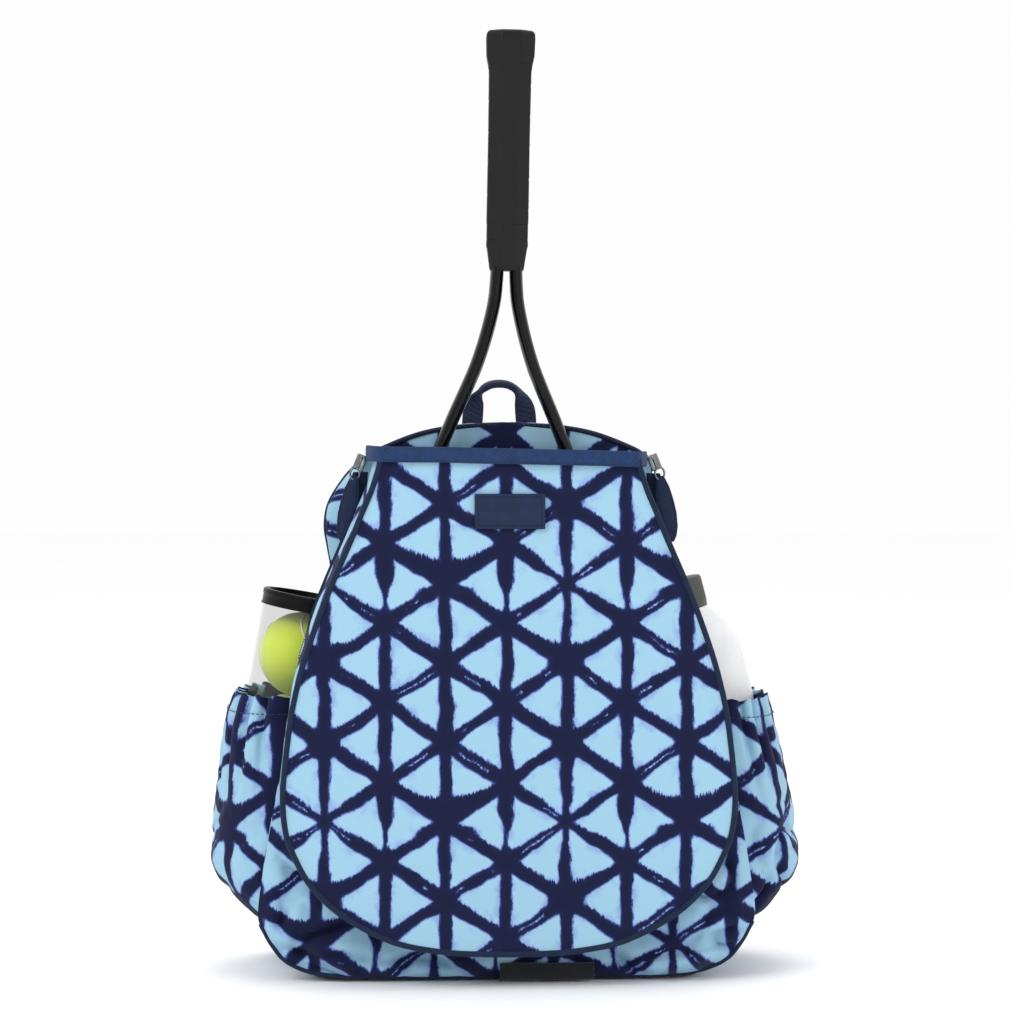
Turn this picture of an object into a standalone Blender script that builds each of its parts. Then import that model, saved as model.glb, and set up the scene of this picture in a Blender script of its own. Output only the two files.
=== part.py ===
"""Racket backpack: a printed canvas bag with a racket, a ball can and a bottle in its pockets.

Metres, +Z up. The wearer's back is toward +Y and the racket pocket faces -Y. The origin is on
the flat base, in the middle of its width. Outlines are half outlines in (x, z), from the middle
of the bottom round to the top, and are mirrored.
"""

import math

import bmesh
import bpy
from mathutils import Matrix, Vector

# Driving dimensions ------------------------------------------------------------------------

GAP = 0.0003                 # between pieces that touch
CLOTH = 0.002                # canvas with its lining
FRONT_Y = -0.052             # inner face of the main compartment's front
FRONT_THICK = 0.003
BACK_Y = 0.082               # inner face of the back
BACK_THICK = 0.006
BASE_THICK = 0.004
BASE_HALF = 0.150
POCKET_Y = -0.0925           # inner face of the racket pocket's panel
PANEL_THICK = 0.003
PIPING = 0.0022              # radius of the corded edge
GUSSET_INSET = 0.0042        # pocket gusset inside the line of the piping
FLOOR_TOP = 0.100            # the racket pocket is sewn shut up to here
FLAP_HALF = 0.104            # half width of the top flap
FLAP_FRONT = -0.048

# Half outline of the racket pocket's piping, teardrop shaped.
TEARDROP = [
    (0.0, 0.0257), (0.041, 0.0270), (0.077, 0.0325), (0.100, 0.0410), (0.123, 0.0540),
    (0.138, 0.0660), (0.152, 0.0820), (0.163, 0.1030), (0.1685, 0.1200), (0.1705, 0.1450),
    (0.168, 0.1760), (0.163, 0.2120), (0.155, 0.2450), (0.145, 0.2750), (0.1355, 0.3000),
    (0.127, 0.3200), (0.1175, 0.3420), (0.1115, 0.3570), (0.1035, 0.3760), (0.098, 0.3930),
    (0.0965, 0.4000),
]
DOME = [(0.1075, 0.4020), (0.098, 0.4100), (0.069, 0.4215), (0.038, 0.4277), (0.0, 0.4296)]
FRONT_OUTLINE = [
    (0.0, 0.0043), (0.150, 0.0043), (0.168, 0.0080), (0.178, 0.0160), (0.184, 0.0310),
    (0.188, 0.0520), (0.186, 0.0800), (0.180, 0.1200), (0.171, 0.1650), (0.160, 0.2100),
    (0.152, 0.2450), (0.142, 0.2750), (0.132, 0.3000), (0.124, 0.3200), (0.117, 0.3400),
    (0.113, 0.3570), (0.111, 0.3760), (0.110, 0.3900),
] + DOME
BACK_OUTLINE = [
    (0.0, 0.0043), (0.150, 0.0043), (0.168, 0.0080), (0.178, 0.0160), (0.184, 0.0310),
    (0.188, 0.0520), (0.186, 0.0800), (0.180, 0.1200), (0.171, 0.1650), (0.160, 0.2100),
    (0.150, 0.2500), (0.138, 0.2850), (0.131, 0.3060), (0.133, 0.3250), (0.1365, 0.3420),
    (0.1345, 0.3580), (0.124, 0.3810), (0.115, 0.3950),
] + DOME

# The can and the bottle lean inward along these lines.
HOLD_Y = 0.025
CAN_BASE = Vector((-0.1895, HOLD_Y, 0.0775))
CAN_LEAN = math.radians(10.5)
CAN_RADIUS = 0.0365
CAN_LENGTH = 0.214
LID_RADIUS = 0.0376
BALL_RADIUS = 0.033
BOTTLE_BASE = Vector((0.1949, HOLD_Y, 0.0789))
BOTTLE_LEAN = -math.radians(14.5)
BOTTLE_RADIUS = 0.036
CAP_FROM = 0.2055
CAP_TO = 0.230

# Outermost line of each side pocket: (z, distance from the middle).
LEFT_POCKET = [
    (0.042, 0.192), (0.0565, 0.212), (0.080, 0.2288), (0.130, 0.2265), (0.200, 0.2157),
    (0.2165, 0.2086),
]
RIGHT_POCKET = [
    (0.042, 0.199), (0.0575, 0.2185), (0.084, 0.2342), (0.127, 0.2280), (0.192, 0.2120),
    (0.2125, 0.2067),
]
HEM_HEIGHT = 0.0125
POCKET_FRONT_Y = -0.0495
POCKET_REAR_Y = 0.0785

# The racket, from its tip (w = 0) to its butt, u across.
RACKET_LENGTH = 0.6858
RACKET_LEAN = math.radians(1.05)
RACKET_TIP = Vector((-0.0107, -0.074, 0.0383))
RACKET_TUBE = 0.0052
RACKET_DEPTH = 2.0           # the tube is this many times deeper than wide
HEAD_HALF = 0.1255
HEAD_MIDDLE = 0.1725
SHAFT = [
    (0.0070, 0.5085), (0.0074, 0.4980), (0.0090, 0.4810), (0.0141, 0.4580), (0.0209, 0.4355),
    (0.0285, 0.4166), (0.0368, 0.3976), (0.0430, 0.3824), (0.0485, 0.3695), (0.0575, 0.3450),
    (0.0665, 0.3220), (0.0770, 0.2990), (0.0890, 0.2750), (0.1020, 0.2480), (0.1140, 0.2200),
    (0.1225, 0.1950), (HEAD_HALF, HEAD_MIDDLE),
]
HEAD_BOTTOM = 0.0055
BRIDGE_TOP = 0.3380
BRIDGE_HALF = 0.0600
BRIDGE_DROP = 0.0290

# Joint axes ---------------------------------------------------------------------------------

FLAP_AXIS = Vector((0.0, 0.0835, 0.4320))
PANEL_AXIS = Vector((0.0, -0.0940, 0.0285))
SLIDER_X = 0.1120
SLIDER_Y = -0.0590
SLIDER_Z = 0.3960
ZIP_SLOPE = math.atan(0.393)

COLOURS = {
    "print": ((0.38, 0.62, 0.80), 0.85, 0.0),
    "navy": ((0.03, 0.06, 0.14), 0.75, 0.0),
    "leather": ((0.05, 0.10, 0.20), 0.5, 0.0),
    "black_fabric": ((0.02, 0.02, 0.025), 0.9, 0.0),
    "metal": ((0.45, 0.46, 0.48), 0.3, 1.0),
    "black_plastic": ((0.03, 0.03, 0.03), 0.45, 0.0),
    "frame_black": ((0.025, 0.025, 0.03), 0.2, 0.0),
    "grip": ((0.03, 0.03, 0.03), 0.7, 0.0),
    "string": ((0.8, 0.8, 0.7), 0.4, 0.0),
    "clear": ((0.8, 0.82, 0.82), 0.1, 0.0),
    "felt": ((0.55, 0.80, 0.10), 0.95, 0.0),
    "bottle_white": ((0.80, 0.80, 0.82), 0.3, 0.0),
    "cap_grey": ((0.08, 0.09, 0.08), 0.5, 0.0),
}


# Helpers ------------------------------------------------------------------------------------

def clear_scene():
    for obj in list(bpy.data.objects):
        bpy.data.objects.remove(obj, do_unlink=True)


def material(key):
    found = bpy.data.materials.get(key)
    if found:
        return found
    colour, roughness, metallic = COLOURS[key]
    made = bpy.data.materials.new(key)
    made.use_nodes = True
    shader = made.node_tree.nodes["Principled BSDF"]
    shader.inputs["Base Color"].default_value = (*colour, 1.0)
    shader.inputs["Roughness"].default_value = roughness
    shader.inputs["Metallic"].default_value = metallic
    return made


def add(name, data, look, matrix=None):
    obj = bpy.data.objects.new(name, data)
    PARTS.objects.link(obj)
    data.materials.append(material(look))
    if matrix is not None:
        obj.matrix_world = matrix
    return obj


def smooth(points, steps, closed=False):
    """Points on a Catmull-Rom curve through the given ones."""
    count = len(points)
    if count < 3:
        return list(points)
    made = []
    spans = count if closed else count - 1
    for i in range(spans):
        if closed:
            near = [points[(i + k) % count] for k in (-1, 0, 1, 2)]
        else:
            near = [points[min(max(i + k, 0), count - 1)] for k in (-1, 0, 1, 2)]
        a, b, c, d = (Vector(p) for p in near)
        for step in range(steps):
            t = step / steps
            made.append(0.5 * ((2 * b) + (c - a) * t + (2 * a - 5 * b + 4 * c - d) * t * t
                               + (3 * b - a - 3 * c + d) * t ** 3))
    if not closed:
        made.append(Vector(points[-1]))
    return made


def offset(points, distance):
    """The open path moved sideways, toward its left by a positive distance."""
    moved = []
    last = len(points) - 1
    for i, point in enumerate(points):
        along = Vector(points[min(i + 1, last)]) - Vector(points[max(i - 1, 0)])
        along.normalize()
        moved.append(Vector(point) + distance * Vector((-along.y, along.x)))
    return moved


def mirrored(half):
    """A closed outline from a half outline that starts and ends on, or level with, the middle."""
    left = [Vector((-p[0], p[1])) for p in reversed(half) if abs(p[0]) > 1e-6]
    return [Vector(p) for p in half] + left


def height_at(outline, x):
    """Height of a half outline's top above x."""
    for a, b in zip(outline, outline[1:]):
        if min(a[0], b[0]) <= x <= max(a[0], b[0]) and a[0] != b[0]:
            return a[1] + (b[1] - a[1]) * (x - a[0]) / (b[0] - a[0])
    return outline[-1][1]


def value_at(table, z):
    """Distance from the middle at height z, from a table of (z, distance)."""
    for a, b in zip(table, table[1:]):
        if a[0] <= z <= b[0]:
            return a[1] + (b[1] - a[1]) * (z - a[0]) / (b[0] - a[0])
    return table[-1][1]


def plate(name, outline, y_front, y_rear, look):
    """A flat upright sheet: a closed outline in (x, z) between two depths."""
    curve = bpy.data.curves.new(name, "CURVE")
    curve.dimensions = "2D"
    curve.fill_mode = "BOTH"
    curve.extrude = (y_rear - y_front) / 2
    spline = curve.splines.new("POLY")
    spline.points.add(len(outline) - 1)
    for point, place in zip(spline.points, outline):
        point.co = (place[0], place[1], 0.0, 1.0)
    spline.use_cyclic_u = True
    upright = Matrix.Rotation(math.radians(90), 4, "X")
    return add(name, curve, look, Matrix.Translation((0, (y_front + y_rear) / 2, 0)) @ upright)


def tube(name, points, radius, look, closed=False, sides=2, matrix=None):
    """A round cord or rod along 3-D points."""
    curve = bpy.data.curves.new(name, "CURVE")
    curve.dimensions = "3D"
    curve.bevel_depth = radius
    curve.bevel_resolution = sides
    curve.use_fill_caps = True
    spline = curve.splines.new("POLY")
    spline.points.add(len(points) - 1)
    for point, place in zip(spline.points, points):
        point.co = (*place, 1.0)
    spline.use_cyclic_u = closed
    return add(name, curve, look, matrix)


def sheet(name, rows, thick, look):
    """A sheet through rows of points, thickened toward its back."""
    mesh = bpy.data.meshes.new(name)
    work = bmesh.new()
    grid = [[work.verts.new(point) for point in row] for row in rows]
    for low, high in zip(grid, grid[1:]):
        for i in range(len(low) - 1):
            work.faces.new((low[i], low[i + 1], high[i + 1], high[i]))
    work.to_mesh(mesh)
    work.free()
    obj = add(name, mesh, look)
    thickness = obj.modifiers.new("cloth", "SOLIDIFY")
    thickness.thickness = thick
    thickness.offset = -1.0
    return obj


def flat(name, outline, thick, look):
    """A flat cut of cloth lying under an outline that runs anticlockwise from above."""
    mesh = bpy.data.meshes.new(name)
    work = bmesh.new()
    top = [work.verts.new(point) for point in outline]
    low = [work.verts.new((x, y, z - thick)) for x, y, z in outline]
    work.faces.new(top)
    work.faces.new(list(reversed(low)))
    for i in range(len(top)):
        work.faces.new((low[i - 1], low[i], top[i], top[i - 1]))
    work.to_mesh(mesh)
    work.free()
    return add(name, mesh, look)


def strip(name, path, y_front, y_rear, look, thick=CLOTH):
    """A band of cloth along a path in (x, z), from one depth to the other."""
    rows = [[(p[0], y_rear, p[1]) for p in path], [(p[0], y_front, p[1]) for p in path]]
    return sheet(name, rows, thick, look)


def turned(name, profile, look, matrix, steps=40):
    """A turned piece: (radius, height) down its outer side, about its own Z axis."""
    mesh = bpy.data.meshes.new(name)
    work = bmesh.new()
    verts = [work.verts.new((radius, 0.0, height)) for radius, height in profile]
    for a, b in zip(verts, verts[1:]):
        work.edges.new((a, b))
    work.to_mesh(mesh)
    work.free()
    obj = add(name, mesh, look, matrix)
    turn = obj.modifiers.new("turn", "SCREW")
    turn.steps = steps
    turn.render_steps = steps
    turn.use_merge_vertices = True
    turn.merge_threshold = 0.00005
    return obj


def block(name, size, look, matrix, bevel=0.0):
    """A box with softened edges."""
    mesh = bpy.data.meshes.new(name)
    work = bmesh.new()
    bmesh.ops.create_cube(work, size=1.0)
    bmesh.ops.scale(work, vec=size, verts=work.verts)
    work.to_mesh(mesh)
    work.free()
    obj = add(name, mesh, look, matrix)
    if bevel:
        edge = obj.modifiers.new("edge", "BEVEL")
        edge.width = bevel
        edge.segments = 2
    return obj


def leaning(base, lean, along=0.0):
    """Frame of a piece that stands on base and leans about Y, moved along its own axis."""
    return Matrix.Translation(base) @ Matrix.Rotation(lean, 4, "Y") @ Matrix.Translation((0, 0, along))


def joint_at(name, place, pieces, parent=None):
    """An empty on a joint's axis that carries its pieces."""
    pivot = bpy.data.objects.new(name, None)
    pivot.empty_display_size = 0.02
    PARTS.objects.link(pivot)
    pivot.matrix_world = Matrix.Translation(place)
    if parent:
        pivot.parent = parent
        pivot.matrix_parent_inverse = parent.matrix_world.inverted()
    bpy.context.view_layer.update()
    for piece in pieces:
        piece.parent = pivot
        piece.matrix_parent_inverse = pivot.matrix_world.inverted()
    return pivot


# The bag's body -----------------------------------------------------------------------------

def wall_line(side):
    """The side wall's outer line in (x, z): beside what the pocket holds, then out to the flap."""
    base, lean, radius = (
        (CAN_BASE, CAN_LEAN, LID_RADIUS) if side < 0 else (BOTTLE_BASE, BOTTLE_LEAN, BOTTLE_RADIUS)
    )
    clearance = 0.0015 if side < 0 else 0.0022
    foot = abs(base.x) - (radius + clearance) * math.cos(lean)
    level = base.z - (radius + clearance) * math.sin(abs(lean))
    slope = math.tan(abs(lean))
    narrowest = 0.0903

    def at(z):
        return max(foot - slope * (z - level), narrowest)

    heights = [0.0043, 0.07, 0.15, 0.22, 0.28, 0.33, 0.365, 0.396]
    line = [(at(z), z) for z in heights]
    line += [(0.0925, 0.3998), (0.1000, 0.4004)]
    return [(side * x, z) for x, z in line], at


def body():
    plate("front_wall", mirrored(FRONT_OUTLINE), FRONT_Y - FRONT_THICK, FRONT_Y, "print")
    plate("back_panel", mirrored(BACK_OUTLINE), BACK_Y, BACK_Y + BACK_THICK, "black_fabric")
    corner = 0.025
    front, rear = FRONT_Y - FRONT_THICK, BACK_Y + BACK_THICK
    base = []
    for cx, cy, start in (
        (BASE_HALF - corner, rear - corner, 0), (corner - BASE_HALF, rear - corner, 90),
        (corner - BASE_HALF, front + corner, 180), (BASE_HALF - corner, front + corner, 270),
    ):
        for step in range(5):
            angle = math.radians(start + 22.5 * step)
            base.append((cx + corner * math.cos(angle), cy + corner * math.sin(angle)))
    curve = bpy.data.curves.new("base_panel", "CURVE")
    curve.dimensions = "2D"
    curve.fill_mode = "BOTH"
    curve.extrude = BASE_THICK / 2
    spline = curve.splines.new("POLY")
    spline.points.add(len(base) - 1)
    for point, place in zip(spline.points, base):
        point.co = (*place, 0.0, 1.0)
    spline.use_cyclic_u = True
    add("base_panel", curve, "black_fabric", Matrix.Translation((0, 0, BASE_THICK / 2)))
    for side, word in ((-1, "left"), (1, "right")):
        line, _ = wall_line(side)
        if side < 0:
            line.reverse()
        strip(f"side_gusset_{word}", line, FRONT_Y + 0.0005, BACK_Y - 0.0005, "print")
    dome = smooth(DOME, 4)
    edge = offset(dome, -PIPING)
    route = [(p.x, FRONT_Y - 0.0015, p.y + 0.0004) for p in edge]
    route += [(-x, y, z) for x, y, z in reversed(route[:-1])]
    tube("dome_piping", route, 0.0018, "navy")


def side_pocket(side, word, table):
    """A gathered pocket round the can or bottle, with a sewn floor, and its elastic hem above."""
    _, wall = wall_line(side)
    middle = (POCKET_FRONT_Y + POCKET_REAR_Y) / 2
    half = (POCKET_REAR_Y - POCKET_FRONT_Y) / 2
    top = table[-1][0]
    ends = 0.166

    def row(z):
        reach = value_at(table, z) - ends
        inner = wall(z) + 0.0012
        points = [(inner, POCKET_FRONT_Y), (ends, POCKET_FRONT_Y)]
        for step in range(1, 8):
            angle = math.radians(-90 + 22.5 * step)
            across = abs(math.cos(angle)) ** 0.6
            deep = math.copysign(abs(math.sin(angle)) ** 0.85, angle)
            points.append((ends + reach * across, middle + half * deep))
        points += [(ends, POCKET_REAR_Y), (inner, POCKET_REAR_Y)]
        points = [(side * x, y, z) for x, y in points]
        return points if side > 0 else list(reversed(points))

    levels = [z for z, _ in table if z < top - HEM_HEIGHT] + [top - HEM_HEIGHT - GAP]
    sheet(f"side_pocket_{word}", [row(z) for z in levels], 0.0018, "print")
    lowest = table[0][0] - GAP
    outline = []
    for x, y, _ in row(lowest - 0.0018):
        point = Vector((x, y, lowest))
        if not outline or (point - outline[-1]).length > 0.002:
            outline.append(point)
    flat(f"side_pocket_floor_{word}", outline, 0.0018, "print")
    hem = [row(z) for z in (top - HEM_HEIGHT, top - HEM_HEIGHT / 2, top)]
    sheet(f"pocket_hem_{word}", hem, 0.0018, "print")


def haul_loop():
    """Webbing loop behind the dome, sewn to the back panel."""
    outer = [(0.0275, 0.395), (0.0300, 0.415), (0.0295, 0.430), (0.0235, 0.4455), (0.0120, 0.4555),
             (0.0, 0.4590)]
    inner = [(0.0, 0.4525), (0.0070, 0.4505), (0.0125, 0.4440), (0.0148, 0.4330), (0.0145, 0.4150),
             (0.0130, 0.395)]
    right = [Vector(p) for p in outer]
    left = [Vector((-p[0], p[1])) for p in reversed(outer[:-1])]
    hole = [Vector((-p[0], p[1])) for p in reversed(inner[1:])] + [Vector(p) for p in inner]
    plate("haul_loop", right + left + hole, BACK_Y + BACK_THICK + GAP, 0.0995, "navy")


def carrying():
    """Back padding and the two shoulder straps, with their webbing, locks and anchors."""
    rear = BACK_Y + BACK_THICK + GAP
    pad = [(0.0, 0.060), (0.088, 0.060), (0.101, 0.067), (0.107, 0.085), (0.106, 0.160),
           (0.103, 0.240), (0.097, 0.310), (0.090, 0.345), (0.076, 0.360), (0.0, 0.362)]
    plate("back_pad", mirrored(pad), rear, rear + 0.008, "black_fabric")
    for side, word in ((-1, "left"), (1, "right")):
        path = smooth([
            (0.062, rear, 0.398), (0.064, rear + 0.014, 0.385), (0.069, rear + 0.027, 0.350),
            (0.076, rear + 0.034, 0.300), (0.083, rear + 0.035, 0.250), (0.091, rear + 0.031, 0.200),
            (0.098, rear + 0.023, 0.160),
        ], 3)
        last = len(path) - 1
        rows = []
        for i, point in enumerate(path):
            width = 0.058 - 0.020 * max(0.0, (i - last * 0.7) / (last * 0.3))
            y = point.y + 0.0006
            across = [(point.x - width / 2, y, point.z), (point.x + width / 2, y, point.z)]
            rows.append([(side * x, y, z) for x, y, z in across][::side])
        sheet(f"shoulder_strap_{word}", rows, -0.010, "black_fabric")
        lock = Matrix.Translation((side * 0.1015, rear + 0.0240, 0.1480))
        block(f"ladder_lock_{word}", (0.038, 0.006, 0.018), "black_plastic", lock, 0.001)
        route = smooth([
            (0.1040, rear + 0.0225, 0.1384), (0.112, rear + 0.018, 0.115),
            (0.124, rear + 0.0105, 0.085), (0.136, rear + 0.0040, 0.0560),
        ], 3)
        rows = []
        for point in route:
            ends = (point.x - 0.0125, point.x + 0.0125)
            rows.append([(side * x, point.y, point.z) for x in ends][::side])
        sheet(f"strap_webbing_{word}", rows, -0.0018, "navy")
        tab = Matrix.Translation((side * 0.140, rear + 0.0030, 0.0440))
        block(f"anchor_tab_{word}", (0.034, 0.0055, 0.022), "navy", tab, 0.001)


# Top flap -----------------------------------------------------------------------------------

def top_flap():
    """Lid of the main compartment, hinged along the top of the back, with its zip in front."""
    dome = smooth(DOME, 4)
    half = [p for p in offset(dome, GAP) if p.x < FLAP_HALF - 0.001]
    edge = Vector((FLAP_HALF, height_at(dome, FLAP_HALF) - GAP))
    path = [edge] + half
    path = path + [Vector((-p.x, p.y)) for p in reversed(path[:-1])]
    flap = strip("top_flap", path, FLAP_FRONT, BACK_Y - 0.0007, "print", 0.0022)
    over = offset(path, -GAP - 0.0016)[2:-2]
    chain = strip("main_zip", over, FLAP_FRONT + 0.0010, FLAP_FRONT + 0.0075, "black_fabric", 0.0013)
    x = 0.066
    z = height_at(dome, x) + 0.0040
    tilt = Matrix.Rotation(math.radians(14), 4, "Y")
    slider = block("main_zip_slider", (0.012, 0.008, 0.0030), "metal",
                   Matrix.Translation((x, FLAP_FRONT + 0.0045, z)) @ tilt, 0.0007)
    pull = block("main_zip_pull", (0.030, 0.008, 0.0016), "leather",
                 Matrix.Translation((x - 0.0225, FLAP_FRONT + 0.0045, z + 0.0056)) @ tilt, 0.0005)
    joint_at("flap_axis", FLAP_AXIS, (flap, chain, slider, pull))


# Racket pocket ------------------------------------------------------------------------------

def racket_pocket():
    """Teardrop panel with its gusset, piping, band and label, which folds down from its foot."""
    line = smooth(TEARDROP, 2)
    panel_line = offset(line, PIPING + GAP)
    panel_line[0].x = 0.0
    panel_line[-1].y = 0.4035
    outline = mirrored(panel_line)
    panel = plate("pocket_panel", outline, POCKET_Y - PANEL_THICK, POCKET_Y, "print")
    moving = [panel]
    inner = offset(line, GUSSET_INSET)
    side_path = [p for p in inner if p.y > FLOOR_TOP + 0.004]
    floor_path = [p for p in inner if p.y < FLOOR_TOP]
    floor_path[0].x = 0.0
    rear = FRONT_Y - FRONT_THICK - 0.0008
    front = POCKET_Y + GAP
    for side, word in ((-1, "left"), (1, "right")):
        path = [(side * p.x, p.y) for p in side_path]
        if side < 0:
            path.reverse()
        moving.append(strip(f"pocket_gusset_{word}", path, front, rear, "print"))
    floor = [(-p.x, p.y) for p in reversed(floor_path[1:])] + [(p.x, p.y) for p in floor_path]
    strip("pocket_floor", floor, front, rear, "print")
    depth = POCKET_Y - PANEL_THICK / 2
    round_edge = [(p.x, depth, p.y) for p in line]
    route = [(-x, y, z) for x, y, z in reversed(round_edge[1:])] + round_edge
    moving.append(tube("pocket_piping", route, PIPING, "navy", sides=1))
    band = Matrix.Translation((0.0, POCKET_Y - PANEL_THICK - GAP - 0.0011, 0.4020))
    moving.append(block("pocket_band", (0.188, 0.0022, 0.0120), "navy", band, 0.0005))
    label = Matrix.Translation((0.0, POCKET_Y - PANEL_THICK - GAP - 0.0008, 0.3602))
    moving.append(block("label_patch", (0.0530, 0.0016, 0.0265), "leather", label, 0.0005))
    joint_at("pocket_axis", PANEL_AXIS, moving)


def zip_sliders():
    """A metal slider at each end of the band, with a ring and a leather pull that swings on it."""
    for side, word in ((-1, "left"), (1, "right")):
        place = Vector((side * SLIDER_X, SLIDER_Y, SLIDER_Z))
        turn = Matrix.Rotation(-side * ZIP_SLOPE, 4, "Y")
        slider = block(f"zip_slider_{word}", (0.0080, 0.0050, 0.0130), "metal",
                       Matrix.Translation(place) @ turn, 0.0008)
        pivot = joint_at(f"slider_path_{word}", place, (slider,))
        hang = place + Vector((side * 0.0040, 0.0, -0.0115))
        ring_path = []
        for step in range(14):
            angle = math.tau * step / 14
            ring_path.append((0.0032 * math.cos(angle), 0.0, 0.0032 * math.sin(angle)))
        ring = tube(f"pull_ring_{word}", ring_path, 0.0008, "metal", closed=True, sides=1,
                    matrix=Matrix.Translation(hang))
        leaf = [(0.0, -0.0045), (0.0045, -0.0060), (0.0062, -0.0160), (0.0066, -0.0300),
                (0.0048, -0.0420), (0.0, -0.0500)]
        outline = [(x, z) for x, z in leaf] + [(-x, z) for x, z in reversed(leaf[1:-1])]
        pull = plate(f"zip_pull_{word}", outline, -0.0012, 0.0012, "leather")
        lean = Matrix.Rotation(-side * math.radians(12), 4, "Y")
        pull.matrix_world = Matrix.Translation(hang) @ lean @ pull.matrix_world
        joint_at(f"pull_swing_{word}", place + Vector((side * 0.0040, 0, -0.0085)), (ring, pull), pivot)


# Racket -------------------------------------------------------------------------------------

def head_half(w):
    """Half width of the racket's centre line at w, on the handle's side of its middle."""
    points = sorted((b, a) for a, b in SHAFT)
    for (w0, u0), (w1, u1) in zip(points, points[1:]):
        if w0 <= w <= w1:
            return u0 + (u1 - u0) * (w - w0) / (w1 - w0)
    return points[-1][1]


def racket():
    frame = leaning(RACKET_TIP, RACKET_LEAN)
    deep = Matrix.Diagonal((1.0, RACKET_DEPTH, 1.0, 1.0))
    shaft = [(p.x, p.y) for p in smooth(SHAFT, 2)]
    tip = []
    height = HEAD_MIDDLE - HEAD_BOTTOM
    for step in range(1, 24):
        angle = math.pi * step / 24
        tip.append((HEAD_HALF * math.cos(angle), HEAD_MIDDLE - height * math.sin(angle)))
    path = shaft + tip + [(-u, w) for u, w in reversed(shaft)]
    pieces = [tube("racket_frame", [(u, 0.0, w) for u, w in path], RACKET_TUBE, "frame_black",
                   matrix=frame @ deep)]
    arc = []
    for step in range(13):
        u = BRIDGE_HALF * (step / 6 - 1)
        arc.append((u, 0.0, BRIDGE_TOP - BRIDGE_DROP * (u / BRIDGE_HALF) ** 2))
    pieces.append(tube("throat_bridge", arc, 0.0045, "frame_black", matrix=frame @ deep))

    inside = RACKET_TUBE + 0.0008
    bed = [(0.0, HEAD_BOTTOM + inside)]
    for step in range(1, 13):
        angle = math.pi / 2 - math.pi / 2 * step / 12
        bed.append(((HEAD_HALF - inside) * math.cos(angle),
                    HEAD_MIDDLE - (height - inside) * math.sin(angle)))
    for w in (0.195, 0.220, 0.248, 0.275, 0.290):
        bed.append((head_half(w) - inside - 0.0006, w))
    for u in (0.058, 0.045, 0.030, 0.015, 0.0):
        bed.append((u, BRIDGE_TOP - BRIDGE_DROP * (u / BRIDGE_HALF) ** 2 - 0.0062))
    strings = plate("string_bed", mirrored(bed), -0.0008, 0.0008, "string")
    strings.matrix_world = frame @ strings.matrix_world
    pieces.append(strings)

    def octagon(name, sections, look):
        """Eight-sided stretch of the handle: (w, half width) from low to high."""
        mesh = bpy.data.meshes.new(name)
        work = bmesh.new()
        rings = []
        for w, half in sections:
            ring = []
            for corner in range(8):
                angle = math.radians(22.5 + 45 * corner)
                radius = half / math.cos(math.radians(22.5))
                ring.append(work.verts.new((radius * math.cos(angle), 0.9 * radius * math.sin(angle), w)))
            rings.append(ring)
        work.faces.new(list(reversed(rings[0])))
        work.faces.new(rings[-1])
        for low, high in zip(rings, rings[1:]):
            for i in range(8):
                j = (i + 1) % 8
                work.faces.new((low[i], low[j], high[j], high[i]))
        work.to_mesh(mesh)
        work.free()
        pieces.append(add(name, mesh, look, frame))

    top = RACKET_LENGTH
    octagon("grip_collar", [(0.5090, 0.0128), (0.5180, 0.0145), (0.5290, 0.0156)], "grip")
    octagon("finishing_tape", [(0.5293, 0.0158), (0.5400, 0.0158)], "black_plastic")
    octagon("grip_wrap", [(0.5403, 0.0153), (0.6100, 0.0153), (top - 0.0255, 0.0160)], "grip")
    octagon("butt_cap", [(top - 0.0252, 0.0164), (top - 0.0180, 0.0180), (top - 0.0050, 0.0184),
                         (top, 0.0165)], "black_plastic")
    joint_at("racket_slide_axis", RACKET_TIP, pieces)


# What the side pockets hold -----------------------------------------------------------------

def ball_can():
    frame = leaning(CAN_BASE, CAN_LEAN)
    wall = 0.0009
    length = CAN_LENGTH - 0.0025
    profile = [(0.0, 0.0012)]
    profile += [(CAN_RADIUS - wall, 0.0012), (CAN_RADIUS - wall, length), (CAN_RADIUS, length)]
    profile += [(CAN_RADIUS, 0.0), (0.0, 0.0)]
    pieces = [turned("can_tube", profile, "clear", frame, 36)]
    for number in range(3):
        centre = 0.0015 + BALL_RADIUS + (2 * BALL_RADIUS + GAP) * number
        mesh = bpy.data.meshes.new(f"tennis_ball_{number + 1}")
        work = bmesh.new()
        bmesh.ops.create_uvsphere(work, u_segments=18, v_segments=10, radius=BALL_RADIUS)
        work.to_mesh(mesh)
        work.free()
        pieces.append(add(mesh.name, mesh, "felt", leaning(CAN_BASE, CAN_LEAN, centre)))
    can = joint_at("can_slide_axis", CAN_BASE, pieces)
    skirt = 0.012
    inside = CAN_RADIUS + 0.0002
    top = CAN_LENGTH
    profile = [(0.0, top), (LID_RADIUS - 0.001, top), (LID_RADIUS, top - 0.001)]
    profile += [(LID_RADIUS, top - skirt), (inside, top - skirt), (inside, length + GAP)]
    profile += [(0.0, length + GAP)]
    lid = turned("can_lid", profile, "black_plastic", frame, 36)
    joint_at("lid_slide_axis", leaning(CAN_BASE, CAN_LEAN, top).translation, (lid,), can)


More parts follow.
